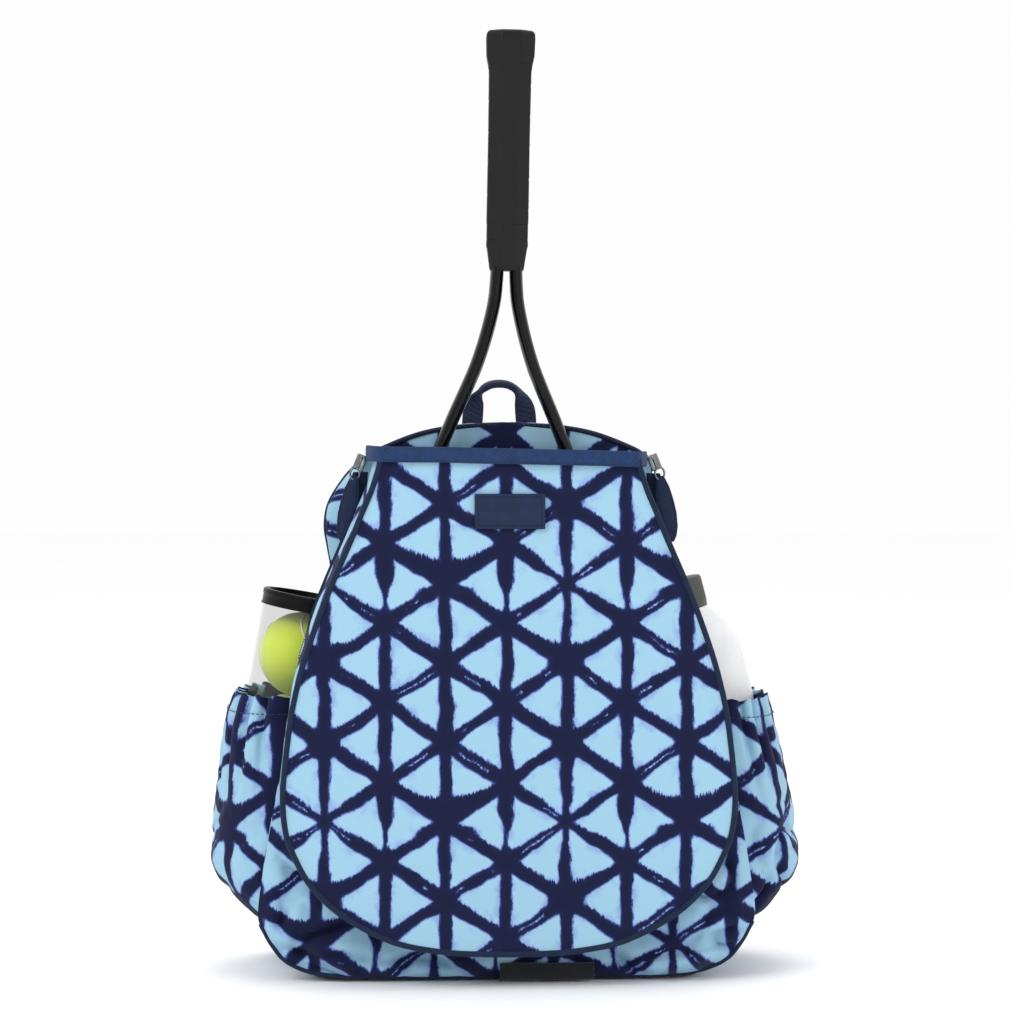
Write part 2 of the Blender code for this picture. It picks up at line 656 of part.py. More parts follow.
def bottle():
    frame = leaning(BOTTLE_BASE, BOTTLE_LEAN)
    profile = [(0.0, CAP_FROM - GAP), (0.0170, CAP_FROM - GAP), (0.0195, 0.2030), (0.0290, 0.1915)]
    profile += [(0.0345, 0.1790), (BOTTLE_RADIUS, 0.1630), (BOTTLE_RADIUS, 0.0040)]
    profile += [(BOTTLE_RADIUS - 0.004, 0.0), (0.0, 0.0)]
    shell = turned("bottle_body", profile, "bottle_white", frame, 36)
    held = joint_at("bottle_slide_axis", BOTTLE_BASE, (shell,))
    profile = [(0.0, CAP_TO), (0.0165, CAP_TO), (0.0185, CAP_TO - 0.002), (0.0190, CAP_FROM)]
    profile += [(0.0, CAP_FROM)]
    cap = turned("bottle_cap", profile, "cap_grey", frame, 32)
    joint_at("cap_turn_axis", leaning(BOTTLE_BASE, BOTTLE_LEAN, CAP_FROM).translation, (cap,), held)


def main():
    body()
    side_pocket(-1, "left", LEFT_POCKET)
    side_pocket(1, "right", RIGHT_POCKET)
    haul_loop()
    carrying()
    top_flap()
    racket_pocket()
    zip_sliders()
    racket()
    ball_can()
    bottle()


clear_scene()
PARTS = bpy.data.collections.new("racket_backpack")
bpy.context.scene.collection.children.link(PARTS)
main()
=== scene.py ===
import math

import bmesh
import bpy
from mathutils import Matrix, Vector, noise


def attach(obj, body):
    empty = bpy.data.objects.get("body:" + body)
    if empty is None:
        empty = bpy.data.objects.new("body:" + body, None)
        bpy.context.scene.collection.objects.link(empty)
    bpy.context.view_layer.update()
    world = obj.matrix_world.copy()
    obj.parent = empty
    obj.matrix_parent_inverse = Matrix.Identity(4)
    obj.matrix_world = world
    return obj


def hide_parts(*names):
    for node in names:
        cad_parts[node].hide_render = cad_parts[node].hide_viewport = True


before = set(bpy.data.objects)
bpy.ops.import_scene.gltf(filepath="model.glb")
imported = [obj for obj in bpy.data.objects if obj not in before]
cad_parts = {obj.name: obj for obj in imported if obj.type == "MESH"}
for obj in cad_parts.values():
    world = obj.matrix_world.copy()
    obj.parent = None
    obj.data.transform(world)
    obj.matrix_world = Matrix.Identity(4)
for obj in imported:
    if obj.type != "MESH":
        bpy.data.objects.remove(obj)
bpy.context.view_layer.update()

bl_info = {
    "name": "Racket Backpack",
    "version": (1, 0, 0),
    "blender": (4, 5, 0),
    "location": "View3D > Sidebar > Backpack",
    "description": "Builds a printed canvas racket backpack with what it carries",
    "category": "Add Mesh",
}

FRONT_Y = -0.055             # face of the main compartment's front
BACK_Y = 0.082               # rear edge of the side walls
REAR_Y = 0.0883              # face of the back panel, under the padding
PANEL_Y = -0.0955            # face of the racket pocket's panel
HOLD_Y = 0.025               # the can and the bottle stand in this plane
CANVAS = 0.0016              # thickness of a lined canvas wall
WALL_TOP = 0.4010            # top of the side walls
ZIP_TOP = (0.1120, 0.3960)   # a side zip's upper end, as half width and height
ZIP_SLOPE = 0.393            # how far a side zip spreads per metre of fall
SIDES = ((-1, "left"), (1, "right"))

# Half outlines in (x, z), from the middle of the bottom round to the top.
TEARDROP = [
    (0.0, 0.0257), (0.041, 0.0270), (0.077, 0.0325), (0.100, 0.0410), (0.123, 0.0540),
    (0.138, 0.0660), (0.152, 0.0820), (0.163, 0.1030), (0.1685, 0.1200), (0.1705, 0.1450),
    (0.168, 0.1760), (0.163, 0.2120), (0.155, 0.2450), (0.145, 0.2750), (0.1355, 0.3000),
    (0.127, 0.3200), (0.1175, 0.3420), (0.1115, 0.3570), (0.1035, 0.3760), (0.098, 0.3930),
    (0.0965, 0.4000),
]
DOME = [(0.1075, 0.4005), (0.096, 0.4078), (0.067, 0.4190), (0.038, 0.4242), (0.0, 0.4260)]
BACK_DOME = [(x, z - 0.0060) for x, z in DOME]
LOWER_OUTLINE = [
    (0.0, 0.0014), (0.100, 0.0016), (0.140, 0.0040), (0.158, 0.0085), (0.1705, 0.0155),
    (0.1785, 0.0250), (0.1850, 0.0360), (0.1900, 0.0500), (0.1865, 0.0800), (0.180, 0.1200),
    (0.171, 0.1650), (0.160, 0.2100),
]
FRONT_OUTLINE = LOWER_OUTLINE + [
    (0.152, 0.2450), (0.142, 0.2750), (0.132, 0.3000), (0.124, 0.3200),
    (0.117, 0.3400), (0.113, 0.3570), (0.111, 0.3760), (0.110, 0.3900),
] + DOME
BACK_OUTLINE = LOWER_OUTLINE + [
    (0.150, 0.2500), (0.140, 0.2850), (0.1345, 0.3060),
    (0.1370, 0.3250), (0.1395, 0.3420), (0.1365, 0.3600), (0.125, 0.3790), (0.115, 0.3900),
] + BACK_DOME

# Outermost line of each side pocket as (z, distance from the middle).
LEFT_POCKET = [
    (0.0405, 0.180), (0.0435, 0.194), (0.049, 0.203), (0.0575, 0.212), (0.071, 0.2240),
    (0.086, 0.2288), (0.105, 0.2280), (0.130, 0.2258), (0.177, 0.2204), (0.200, 0.2157),
    (0.2165, 0.2090),
]
RIGHT_POCKET = [
    (0.0395, 0.186), (0.0425, 0.199), (0.048, 0.208), (0.0585, 0.2185), (0.072, 0.2300),
    (0.086, 0.2332), (0.105, 0.2315), (0.127, 0.2280), (0.167, 0.2190), (0.192, 0.2120),
    (0.2125, 0.2067),
]

# What the side pockets hold: foot, lean and radius.
CAN = (Vector((-0.1895, HOLD_Y, 0.0797)), math.radians(10.5), 0.0365)
CAN_LENGTH = 0.214
BOTTLE = (Vector((0.1949, HOLD_Y, 0.0789)), -math.radians(14.5), 0.036)
CAP_FROM = 0.2055
CAP_TO = 0.230

# The racket, from its tip, u across and w along.
RACKET_TIP = Vector((-0.0107, -0.074, 0.0353))
RACKET_LEAN = math.radians(1.05)
RACKET_LENGTH = 0.6858
HEAD_HALF = 0.1255
HEAD_MIDDLE = 0.1725
HEAD_BOTTOM = 0.0055
BRIDGE = (0.0605, 0.3380, 0.0290)        # half width, top, drop at its ends
SHAFT = [
    (0.0070, 0.5085), (0.0074, 0.4980), (0.0090, 0.4810), (0.0141, 0.4580), (0.0209, 0.4355),
    (0.0285, 0.4166), (0.0368, 0.3976), (0.0430, 0.3824), (0.0485, 0.3695), (0.0575, 0.3450),
    (0.0665, 0.3220), (0.0770, 0.2990), (0.0890, 0.2750), (0.1020, 0.2480), (0.1140, 0.2200),
    (0.1225, 0.1950), (HEAD_HALF, HEAD_MIDDLE),
]


# Curves and tables ---------------------------------------------------------------------------

def smooth(points, steps, closed=False):
    """Points on a Catmull-Rom curve through the given ones."""
    count = len(points)
    made = []
    for i in range(count if closed else count - 1):
        if closed:
            near = [points[(i + k) % count] for k in (-1, 0, 1, 2)]
        else:
            near = [points[min(max(i + k, 0), count - 1)] for k in (-1, 0, 1, 2)]
        a, b, c, d = (Vector(p) for p in near)
        for step in range(steps):
            t = step / steps
            made.append(0.5 * ((2 * b) + (c - a) * t + (2 * a - 5 * b + 4 * c - d) * t * t
                               + (3 * b - a - 3 * c + d) * t ** 3))
    if not closed:
        made.append(Vector(points[-1]))
    return made


class Path:
    """A polyline that is read by its share of length, 0 to 1."""

    def __init__(self, points):
        self.points = [Vector(p) for p in points]
        self.marks = [0.0]
        for a, b in zip(self.points, self.points[1:]):
            self.marks.append(self.marks[-1] + (b - a).length)
        self.length = self.marks[-1]

    def __call__(self, share):
        want = min(max(share, 0.0), 1.0) * self.length
        low, high = 0, len(self.marks) - 1
        while high - low > 1:
            middle = (low + high) // 2
            if self.marks[middle] <= want:
                low = middle
            else:
                high = middle
        span = self.marks[high] - self.marks[low]
        return self.points[low].lerp(self.points[high], (want - self.marks[low]) / max(span, 1e-9))

    def along(self, share):
        step = 0.5 / len(self.points)
        return (self(share + step) - self(share - step)).normalized()


def value_at(table, z):
    """Second column of a table at z in its first column."""
    if z <= table[0][0]:
        return table[0][1]
    for a, b in zip(table, table[1:]):
        if z <= b[0]:
            return a[1] + (b[1] - a[1]) * (z - a[0]) / (b[0] - a[0])
    return table[-1][1]


def ease(low, high, value):
    """0 below low, 1 above high, smooth between."""
    t = min(max((value - low) / (high - low), 0.0), 1.0)
    return t * t * (3 - 2 * t)


def ripple(x, y, z, size):
    """Soft noise from -1 to 1 with features of that size."""
    return noise.noise(Vector((x / size, y / size, z / size)))


def crease(x, y, z, size, sharp=0.10):
    """1 along winding valley lines of that spacing, falling to 0 beside them."""
    bend = ripple(x + 3.0, y, z, 1.7 * size) * 0.6 * size
    near = noise.noise(Vector(((x + bend) / size, y / size, (z - bend) / size)))
    return math.exp(-(near / sharp) ** 2)


def offset(points, distance):
    """The open path moved to its left."""
    moved = []
    last = len(points) - 1
    for i, point in enumerate(points):
        along = (Vector(points[min(i + 1, last)]) - Vector(points[max(i - 1, 0)])).normalized()
        moved.append(Vector(point) + distance * Vector((-along.y, along.x)))
    return moved


def mirrored(points):
    """The same places on the other side of the bag, in reverse order."""
    return [Vector((-p.x, p.y, p.z)) for p in reversed(points)]


def signed_power(value, power):
    """The value's size raised to a power, with its sign kept."""
    return math.copysign(abs(value) ** power, value)


def soft_square(turn, across, deep):
    """A point of a rounded square at a share of a turn; the powers say how square it is."""
    angle = math.tau * turn
    return signed_power(math.cos(angle), across), signed_power(math.sin(angle), deep)


def dome_across(x, half):
    """1 in the middle of a width, falling to 0 at its edges."""
    return max(0.0, 1.0 - (x / max(half, 1e-6)) ** 2)


# Materials -----------------------------------------------------------------------------------

def feed(tree, slot, value):
    """Joins a field or a socket to an input, or sets the input's own value."""
    if isinstance(value, Field):
        tree.links.new(value.socket, slot)
    elif isinstance(value, bpy.types.NodeSocket):
        tree.links.new(value, slot)
    elif isinstance(value, tuple):
        slot.default_value = (*value, 1.0)
    else:
        slot.default_value = value


def tint(colour, share, lift=0.0):
    """A darker or lighter version of a colour."""
    return tuple(min(1.0, share * c + lift) for c in colour)


class Field:
    """A number that varies over a surface, in a material's node tree."""

    def __init__(self, tree, socket):
        self.tree = tree
        self.socket = socket

    def math(self, operation, *others):
        node = self.tree.nodes.new("ShaderNodeMath")
        node.operation = operation
        for slot, value in zip(node.inputs, (self, *others)):
            feed(self.tree, slot, value)
        return Field(self.tree, node.outputs[0])

    def __add__(self, other):
        return self.math("ADD", other)

    def __sub__(self, other):
        return self.math("SUBTRACT", other)

    def __mul__(self, other):
        return self.math("MULTIPLY", other)

    def __truediv__(self, other):
        return self.math("DIVIDE", other)

    def low(self, other):
        return self.math("MINIMUM", other)

    def high(self, other):
        return self.math("MAXIMUM", other)

    def clamped(self):
        """The field held between 0 and 1."""
        return self.high(0.0).low(1.0)

    def near(self, half):
        """Distance to the nearest multiple of twice that half."""
        return self.math("PINGPONG", half)

    def within(self, half):
        """Signed place in a repeat of twice that half."""
        return (self + half).math("FLOORED_MODULO", 2 * half) - half

    def step(self, low, high):
        """0 below low, 1 above high, smooth between."""
        node = self.tree.nodes.new("ShaderNodeMapRange")
        node.interpolation_type = "SMOOTHSTEP"
        self.tree.links.new(self.socket, node.inputs["Value"])
        node.inputs["From Min"].default_value = low
        node.inputs["From Max"].default_value = high
        return Field(self.tree, node.outputs["Result"])

    def colours(self, stops):
        """A colour ramp over the field, from (place, colour) stops."""
        node = self.tree.nodes.new("ShaderNodeValToRGB")
        self.tree.links.new(self.socket, node.inputs["Fac"])
        while len(node.color_ramp.elements) < len(stops):
            node.color_ramp.elements.new(0.5)
        for element, (place, colour) in zip(node.color_ramp.elements, stops):
            element.position = place
            element.color = (*colour, 1.0)
        return node.outputs["Color"]


class Look:
    """A Principled material and the nodes that vary it."""

    def __init__(self, name, colour=(0.5, 0.5, 0.5), roughness=0.6, metallic=0.0, **sockets):
        self.material = bpy.data.materials.new(name)
        self.material.use_nodes = True
        self.tree = self.material.node_tree
        self.shader = self.tree.nodes["Principled BSDF"]
        self.set("Base Color", (*colour, 1.0))
        self.set("Roughness", roughness)
        self.set("Metallic", metallic)
        for socket, value in sockets.items():
            self.set(socket.replace("_", " "), value)

    def set(self, socket, value):
        self.shader.inputs[socket].default_value = value

    def link(self, socket, output):
        feed(self.tree, self.shader.inputs[socket], output)

    def place(self, uv=None):
        """The point on the surface: the cloth's own map, or the object's metres."""
        if uv:
            node = self.tree.nodes.new("ShaderNodeUVMap")
            node.uv_map = uv
            return node.outputs["UV"]
        return self.tree.nodes.new("ShaderNodeTexCoord").outputs["Object"]

    def split(self, vector):
        node = self.tree.nodes.new("ShaderNodeSeparateXYZ")
        self.tree.links.new(vector, node.inputs[0])
        return [Field(self.tree, output) for output in node.outputs]

    def join(self, x, y, z=0.0):
        node = self.tree.nodes.new("ShaderNodeCombineXYZ")
        for slot, value in zip(node.inputs, (x, y, z)):
            feed(self.tree, slot, value)
        return node.outputs[0]

    def noise(self, vector, scale, detail=2.0, rough=0.5):
        node = self.tree.nodes.new("ShaderNodeTexNoise")
        self.tree.links.new(vector, node.inputs["Vector"])
        node.inputs["Scale"].default_value = scale
        node.inputs["Detail"].default_value = detail
        node.inputs["Roughness"].default_value = rough
        return Field(self.tree, node.outputs["Fac"])

    def mix(self, share, first, second):
        node = self.tree.nodes.new("ShaderNodeMix")
        node.data_type = "RGBA"
        factor, first_colour, second_colour, result = 0, 6, 7, 2
        for slot, value in ((factor, share), (first_colour, first), (second_colour, second)):
            feed(self.tree, node.inputs[slot], value)
        return node.outputs[result]

    def shade(self, share, first, second):
        """Colours the surface between two colours, by a field's share."""
        self.link("Base Color", self.mix(share, first, second))

    def bump(self, height, depth, strength=1.0):
        node = self.tree.nodes.new("ShaderNodeBump")
        node.inputs["Strength"].default_value = strength
        node.inputs["Distance"].default_value = depth
        self.tree.links.new(height.socket, node.inputs["Height"])
        self.tree.links.new(node.outputs["Normal"], self.shader.inputs["Normal"])

    def weave(self, across, along, thread):
        """Height of a plain weave, 0 to 1, from two fields in metres."""
        turn = math.pi / thread
        warp = (across * turn).math("SINE")
        weft = (along * turn).math("SINE")
        over = (across * (turn / 2)).math("SINE") * (along * (turn / 2)).math("SINE")
        return (warp.math("ABSOLUTE") + weft.math("ABSOLUTE")) * 0.35 + over * 0.3


def printed_canvas(colours):
    """Cotton canvas with a folded-dye print: light triangles between ragged navy lines."""
    look = Look("printed_canvas", roughness=0.88, Sheen_Weight=0.05, Specular_IOR_Level=0.15)
    flat = look.place("cloth")
    across, up, _ = look.split(flat)
    column, pitch = 45.4, 59.8        # millimetres between posts, and between nodes on a post
    first_x, first_z = -2.8, 36.9

    def layer(depth, scale, detail, rough=0.5):
        return look.noise(look.join(across, up, depth), scale, detail, rough)

    drift = look.noise(flat, 34.0, 2.0)
    drift_up = look.noise(look.join(up + 3.7, across), 40.0, 2.0)
    feather = look.noise(look.join(across * 1.6, up * 0.6), 260.0, 3.0, 0.62)
    grain = layer(0.31, 620.0, 2.0, 0.6)
    x = across * 1000.0 - first_x + (drift - 0.5) * 8.0 + (feather - 0.5) * 1.8
    z = up * 1000.0 - first_z + (drift_up - 0.5) * 7.0 + (feather - 0.5) * 2.2
    slope = pitch / (2 * column)
    level = 1.0 / math.sqrt(1.0 + slope * slope)
    post = x.near(column / 2)
    rise = (z - x * slope).near(pitch / 2) * level
    fall = (z + x * slope).near(pitch / 2) * level

    # Places in the repeat of four columns by three nodes.
    tall = 1.5 * pitch
    from_dark = (x + column).near(2 * column)
    from_knot = (x - column).near(2 * column)
    from_even = x.near(column)
    arch_z, blob_z, foot_z, bar_z, neck_z = (
        (z - (height - first_z)).within(tall) for height in (125.8, 185.6, 66.0, 140.0, 111.0))

    # Shapes as distances from their edges, below zero where the dye is.
    def reach(dx, dz, wide, high):
        """Distance outside an ellipse, roughly in millimetres."""
        size = ((dx / wide) * (dx / wide) + (dz / high) * (dz / high)).math("SQRT")
        return (size - 1.0) * min(wide, high)

    bristle = look.noise(look.join(across * 2.4, up * 0.22), 480.0, 2.0, 0.65) - 0.5

    def smile(dx, dz, depth, bow, half):
        """Dark filling above a node, between its two upper diagonals and a bowed edge."""
        under = dz - (dx * dx * bow + depth) + bristle * 8.0
        over = (dx * slope - dz) * level - 3.6
        return under.high(over).high(dx - half)

    # Half widths of the lines, thin at the arches and uneven from place to place.
    thin = reach(from_knot, arch_z, 7.0, 9.0).step(0.0, 22.0)
    vary = (layer(1.7, 24.0, 1.0) - 0.5) * 9.0
    vary_up = (layer(4.1, 30.0, 1.0) - 0.5) * 9.0
    neck = reach(from_even, neck_z, 7.0, 5.0).step(0.0, 22.0) * 3.6 - 3.6
    bar = reach(from_even, bar_z, 9.0, 10.0).step(-2.0, 20.0) * -1.6 + 1.6
    post_half = thin * 2.2 + 2.2 + vary * 0.42 + bar + neck + bristle * 1.6
    rise_half = thin * 1.6 + 2.4 + vary_up * 0.40
    fall_half = thin * 2.2 + 2.4 - vary * 0.40
    # Lines, some of them split along their middle, and a star at each node.
    twin = layer(7.7, 42.0, 2.0)
    core = twin.step(0.46, 0.54) * 20.0 - 20.0
    rise_ink = (rise - rise_half).high((rise * -1.0 + 0.5) * 1.1 + (grain - 0.45) * 3.2 + core)
    weak = twin.step(0.40, 0.48) * -20.0
    fall_ink = (fall - fall_half).high((fall * -1.0 + 0.4) * 1.0 + (grain - 0.47) * 3.2 + weak)
    ink = (post - post_half.high(0.7)).low(rise_ink).low(fall_ink)
    star = (post + rise + fall) * 0.5 - (thin * 4.6 + 4.4)
    # Fillings above and round the nodes.
    for filling, blend in (
        (star, 6.0),
        (smile(from_dark, arch_z, 19.0, 0.0080, 46.0), 3.0),
        (smile(from_knot, foot_z, 15.0, 0.0080, 42.0), 3.0),
        (smile(from_knot, blob_z, 11.0, 0.0085, 38.0), 3.0),
        (reach(from_dark - 13.5, arch_z + 7.0, 7.5, 4.5), 4.0),
        (reach(from_knot, blob_z, 12.0, 12.0), 4.0),
        (reach(from_knot, foot_z, 13.0, 9.0), 4.0),
    ):
        ink = ink.math("SMOOTH_MIN", filling, blend)
    ink = ink + (feather - 0.5) * 2.6 + (grain - 0.5) * 0.9 - 0.45

    # Dye from navy through its spread edge to the pale cloth.
    light, halo, mid, navy = (colours[key] for key in ("light", "halo", "wash", "navy"))
    stops = [(0.0, tint(navy, 0.78)), (0.30, navy), (0.385, mid), (0.445, halo), (0.54, light),
             (1.0, light)]
    dye = (ink / 10.0 + 0.40).colours(stops)
    streak = layer(2.9, 62.0, 3.0, 0.6)
    soft = streak.step(0.50, 0.66) * (ink.step(0.5, 7.0) * -1.0 + 1.0) * ink.step(0.0, 1.0) * 0.8
    dye = look.mix(soft, dye, halo)
    threads = look.weave(across, up, 0.00075)
    tone = look.mix(threads * 0.10 + look.noise(flat, 900.0, 1.0) * 0.08, dye, (0.0, 0.0, 0.0))
    look.link("Base Color", tone)
    look.bump(threads, 0.00012, 0.6)
    return look.material


def tape_cloth(name, colour, rib, strength=0.8):
    """Ribbed tape: twill binding, webbing or zip tape."""
    look = Look(name, roughness=0.75, Sheen_Weight=0.04, Specular_IOR_Level=0.2)
    flat = look.place("cloth")
    across, along, _ = look.split(flat)
    slant = ((across + along) * (math.pi / rib)).math("SINE")
    cross = ((across - along) * (math.pi / rib)).math("SINE")
    height = slant * 0.5 + cross * 0.3 + 0.5
    fade = look.noise(flat, 160.0, 3.0)
    share = height * 0.45 + (fade - 0.5) * 0.8 + 0.15
    look.shade(share.clamped(), tint(colour, 0.55), tint(colour, 1.5, 0.004))
    look.bump(height, 0.00018, strength)
    return look.material


def leather(colour):
    """Grained leather with darker, smoother patches of wear."""
    look = Look("navy_leather", roughness=0.55, Specular_IOR_Level=0.22)
    point = look.place()
    cells = look.tree.nodes.new("ShaderNodeTexVoronoi")
    cells.inputs["Scale"].default_value = 900.0
    cells.feature = "DISTANCE_TO_EDGE"
    look.tree.links.new(point, cells.inputs["Vector"])
    grain = Field(look.tree, cells.outputs["Distance"]).step(0.0, 0.25)
    wear = look.noise(point, 120.0, 4.0)
    look.shade(wear.step(0.35, 0.7), tint(colour, 0.88), tint(colour, 1.15, 0.001))
    look.link("Roughness", wear * 0.2 + 0.42)
    look.bump(grain + wear, 0.00012, 0.6)
    return look.material


def mesh_fabric(name, colour, cell, depth=0.0003):
    """Spacer mesh or woven nylon on the back, straps and base."""
    look = Look(name, colour, 0.88, Sheen_Weight=0.25, Specular_IOR_Level=0.2)
    flat = look.place("cloth")
    across, along, _ = look.split(flat)
    holes = (across * (math.tau / cell)).math("SINE") * (along * (math.tau / cell)).math("SINE")
    patch = look.noise(flat, 90.0, 3.0)
    share = holes * 0.35 + (patch - 0.5) * 0.6 + 0.5
    look.shade(share.clamped(), tint(colour, 0.45), tint(colour, 1.4, 0.003))
    look.bump(holes, depth, 0.8)
    return look.material


def moulded(name, colour, roughness, speck=0.05, scale=700.0, **sockets):
    """Plastic, rubber, lacquer or plated metal with a fine skin."""
    look = Look(name, colour, roughness, **sockets)
    point = look.place()
    fine = look.noise(point, scale, 3.0)
    broad = look.noise(point, 38.0, 2.0)
    look.shade(broad.step(0.3, 0.7), tint(colour, 0.94), tint(colour, 1.05, 0.001))
    look.link("Roughness", (broad - 0.5) * 0.16 + (fine - 0.5) * 0.10 + roughness)
    look.bump(fine, 0.00006, speck * 6)
    return look.material


def felt(colour):
    """Fuzzy felt of a ball."""
    look = Look("ball_felt", roughness=0.95, Sheen_Weight=0.6, Sheen_Roughness=0.5,
                Specular_IOR_Level=0.1)
    point = look.place()
    fuzz = look.noise(point, 520.0, 5.0, 0.75)
    clump = look.noise(point, 90.0, 3.0)
    look.shade(fuzz * 0.7 + clump * 0.3, tint(colour, 0.90), tint(colour, 1.20, 0.02))
    look.bump(fuzz, 0.0012, 0.8)
    return look.material


def clear_plastic():
    """Thin clear plastic with light scuffs."""
    look = Look("clear_plastic", (0.15, 0.155, 0.16), 0.07, Alpha=0.11, Specular_IOR_Level=1.0,
                Coat_Weight=0.6, Coat_Roughness=0.04)
    scuff = look.noise(look.place(), 60.0, 4.0)
    look.link("Roughness", scuff.step(0.55, 0.8) * 0.12 + 0.06)
    return look.material


LOOKS = {}


def linear(red, green, blue):
    """A colour given as 0-255 display values."""
    return tuple(((c / 255 + 0.055) / 1.055) ** 2.4 if c > 10 else c / 255 / 12.92
                 for c in (red, green, blue))


def make_looks(colours):
    """Fills LOOKS with every material, under a short name for each finish."""
    LOOKS["canvas"] = printed_canvas(colours)
    LOOKS["binding"] = tape_cloth("navy_binding", colours["binding"], 0.0011)
    LOOKS["cord"] = tape_cloth("navy_cord", tint(colours["binding"], 0.42), 0.0011)
    LOOKS["webbing"] = tape_cloth("navy_webbing", colours["webbing"], 0.0019, 1.0)
    LOOKS["leather"] = leather(colours["leather"])
    LOOKS["thread"] = tape_cloth("navy_thread", linear(34, 50, 84), 0.0006)
    LOOKS["back"] = mesh_fabric("spacer_mesh", linear(44, 47, 56), 0.0042, 0.0005)
    LOOKS["nylon"] = mesh_fabric("black_nylon", linear(27, 28, 33), 0.0016)
    LOOKS["metal"] = moulded("plated_metal", (0.17, 0.175, 0.19), 0.24, Metallic=1.0)
    LOOKS["teeth"] = moulded("zip_teeth", linear(26, 32, 48), 0.40, Specular_IOR_Level=0.3)
    LOOKS["plastic"] = moulded("black_plastic", linear(26, 26, 27), 0.42, Specular_IOR_Level=0.3)
    LOOKS["lid"] = moulded("lid_plastic", linear(8, 8, 9), 0.34, Specular_IOR_Level=0.10)
    LOOKS["lacquer"] = moulded("frame_lacquer", linear(7, 7, 8), 0.14, 0.01,
                               Specular_IOR_Level=0.16)
    LOOKS["grip"] = moulded("grip_rubber", linear(18, 18, 18), 0.50, 0.08, 420.0,
                            Specular_IOR_Level=0.18)
    LOOKS["tape"] = moulded("finishing_tape", linear(15, 15, 16), 0.50, 0.02,
                            Specular_IOR_Level=0.2)
    LOOKS["string"] = moulded("string_nylon", linear(215, 214, 190), 0.35)
    LOOKS["clear"] = clear_plastic()
    LOOKS["felt"] = felt(colours["ball"])
    LOOKS["seam"] = moulded("ball_seam", linear(236, 238, 214), 0.8)
    LOOKS["bottle"] = moulded("bottle_coat", colours["bottle"], 0.34, 0.05, 1400.0,
                              Coat_Weight=0.15, Coat_Roughness=0.3)
    LOOKS["cap"] = moulded("cap_plastic", linear(60, 62, 56), 0.5)


# Piece makers --------------------------------------------------------------------------------

def finish_piece(obj, look, body, replaces=()):
    """Gives a piece its material and its body, and hides the CAD nodes that it stands for."""
    obj.data.materials.clear()
    obj.data.materials.append(LOOKS[look])
    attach(obj, body)
    if replaces:
        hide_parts(*replaces)


def object_from(name, work, matrix=None, sharp=None):
    """A smooth-shaded object from an edit mesh, with edges past the sharp angle left hard."""
    mesh = bpy.data.meshes.new(name)
    work.to_mesh(mesh)
    work.free()
    if matrix is not None:
        mesh.transform(matrix)
    mesh.shade_smooth()
    if sharp is not None:
        mesh.set_sharp_from_angle(angle=math.radians(sharp))
    obj = bpy.data.objects.new(name, mesh)
    bpy.context.scene.collection.objects.link(obj)
    return obj


def grid(name, place, across, along, cloth=None, closed=False, thick=0.0):
    """A surface over a unit square. place(u, v) gives a point, cloth(u, v) its flat metres."""
    work = bmesh.new()
    bmesh.ops.create_grid(work, x_segments=across, y_segments=along, size=0.5)
    layer = work.loops.layers.uv.new("cloth")
    shares = {vert: (vert.co.x + 0.5, vert.co.y + 0.5) for vert in work.verts}
    for face in work.faces:
        for loop in face.loops:
            u, v = shares[loop.vert]
            loop[layer].uv = cloth(u, v) if cloth else (u, v)
    for vert, (u, v) in shares.items():
        vert.co = place(u, v)
    bmesh.ops.remove_doubles(work, verts=work.verts, dist=1e-5 if closed else 1e-7)
    bmesh.ops.recalc_face_normals(work, faces=work.faces)
    obj = object_from(name, work)
    if thick:
        wall = obj.modifiers.new("thickness", "SOLIDIFY")
        wall.thickness = thick
        wall.offset = 0.0
    return obj


def cord_along(name, points, radius, closed=False, sides=6, flat=1.0, matrix=None):
    """A round cord as a mesh with its own flat map, optionally deeper in Y."""
    centre = [Vector(p) for p in points]
    count = len(centre)
    marks = [0.0]
    for a, b in zip(centre, centre[1:]):
        marks.append(marks[-1] + (b - a).length)
    work = bmesh.new()
    layer = work.loops.layers.uv.new("cloth")
    ring_count = 4 * sides
    rings = []
    for i, point in enumerate(centre):
        if closed:
            along = centre[(i + 1) % count] - centre[i - 1]
        else:
            along = centre[min(i + 1, count - 1)] - centre[max(i - 1, 0)]
        along.normalize()
        side = Vector((0, 1, 0)) if abs(along.y) < 0.9 else Vector((1, 0, 0))
        out = along.cross(side).normalized()
        deep = out.cross(along)
        ring = []
        for k in range(ring_count):
            angle = math.tau * k / ring_count
            ring.append(work.verts.new(point + radius * (math.cos(angle) * out
                                                         + flat * math.sin(angle) * deep)))
        rings.append(ring)
    spans = list(zip(range(count), range(1, count)))
    if closed:
        spans.append((count - 1, 0))
    for a, b in spans:
        for k in range(ring_count):
            m = (k + 1) % ring_count
            face = work.faces.new((rings[a][k], rings[a][m], rings[b][m], rings[b][k]))
            for loop, (ring, turn) in zip(face.loops, ((a, k), (a, k + 1), (b, k + 1), (b, k))):
                loop[layer].uv = (math.tau * radius * turn / ring_count, marks[ring])
    if not closed:
        work.faces.new(list(reversed(rings[0])))
        work.faces.new(rings[-1])
    bmesh.ops.recalc_face_normals(work, faces=work.faces)
    return object_from(name, work, matrix, sharp=50)


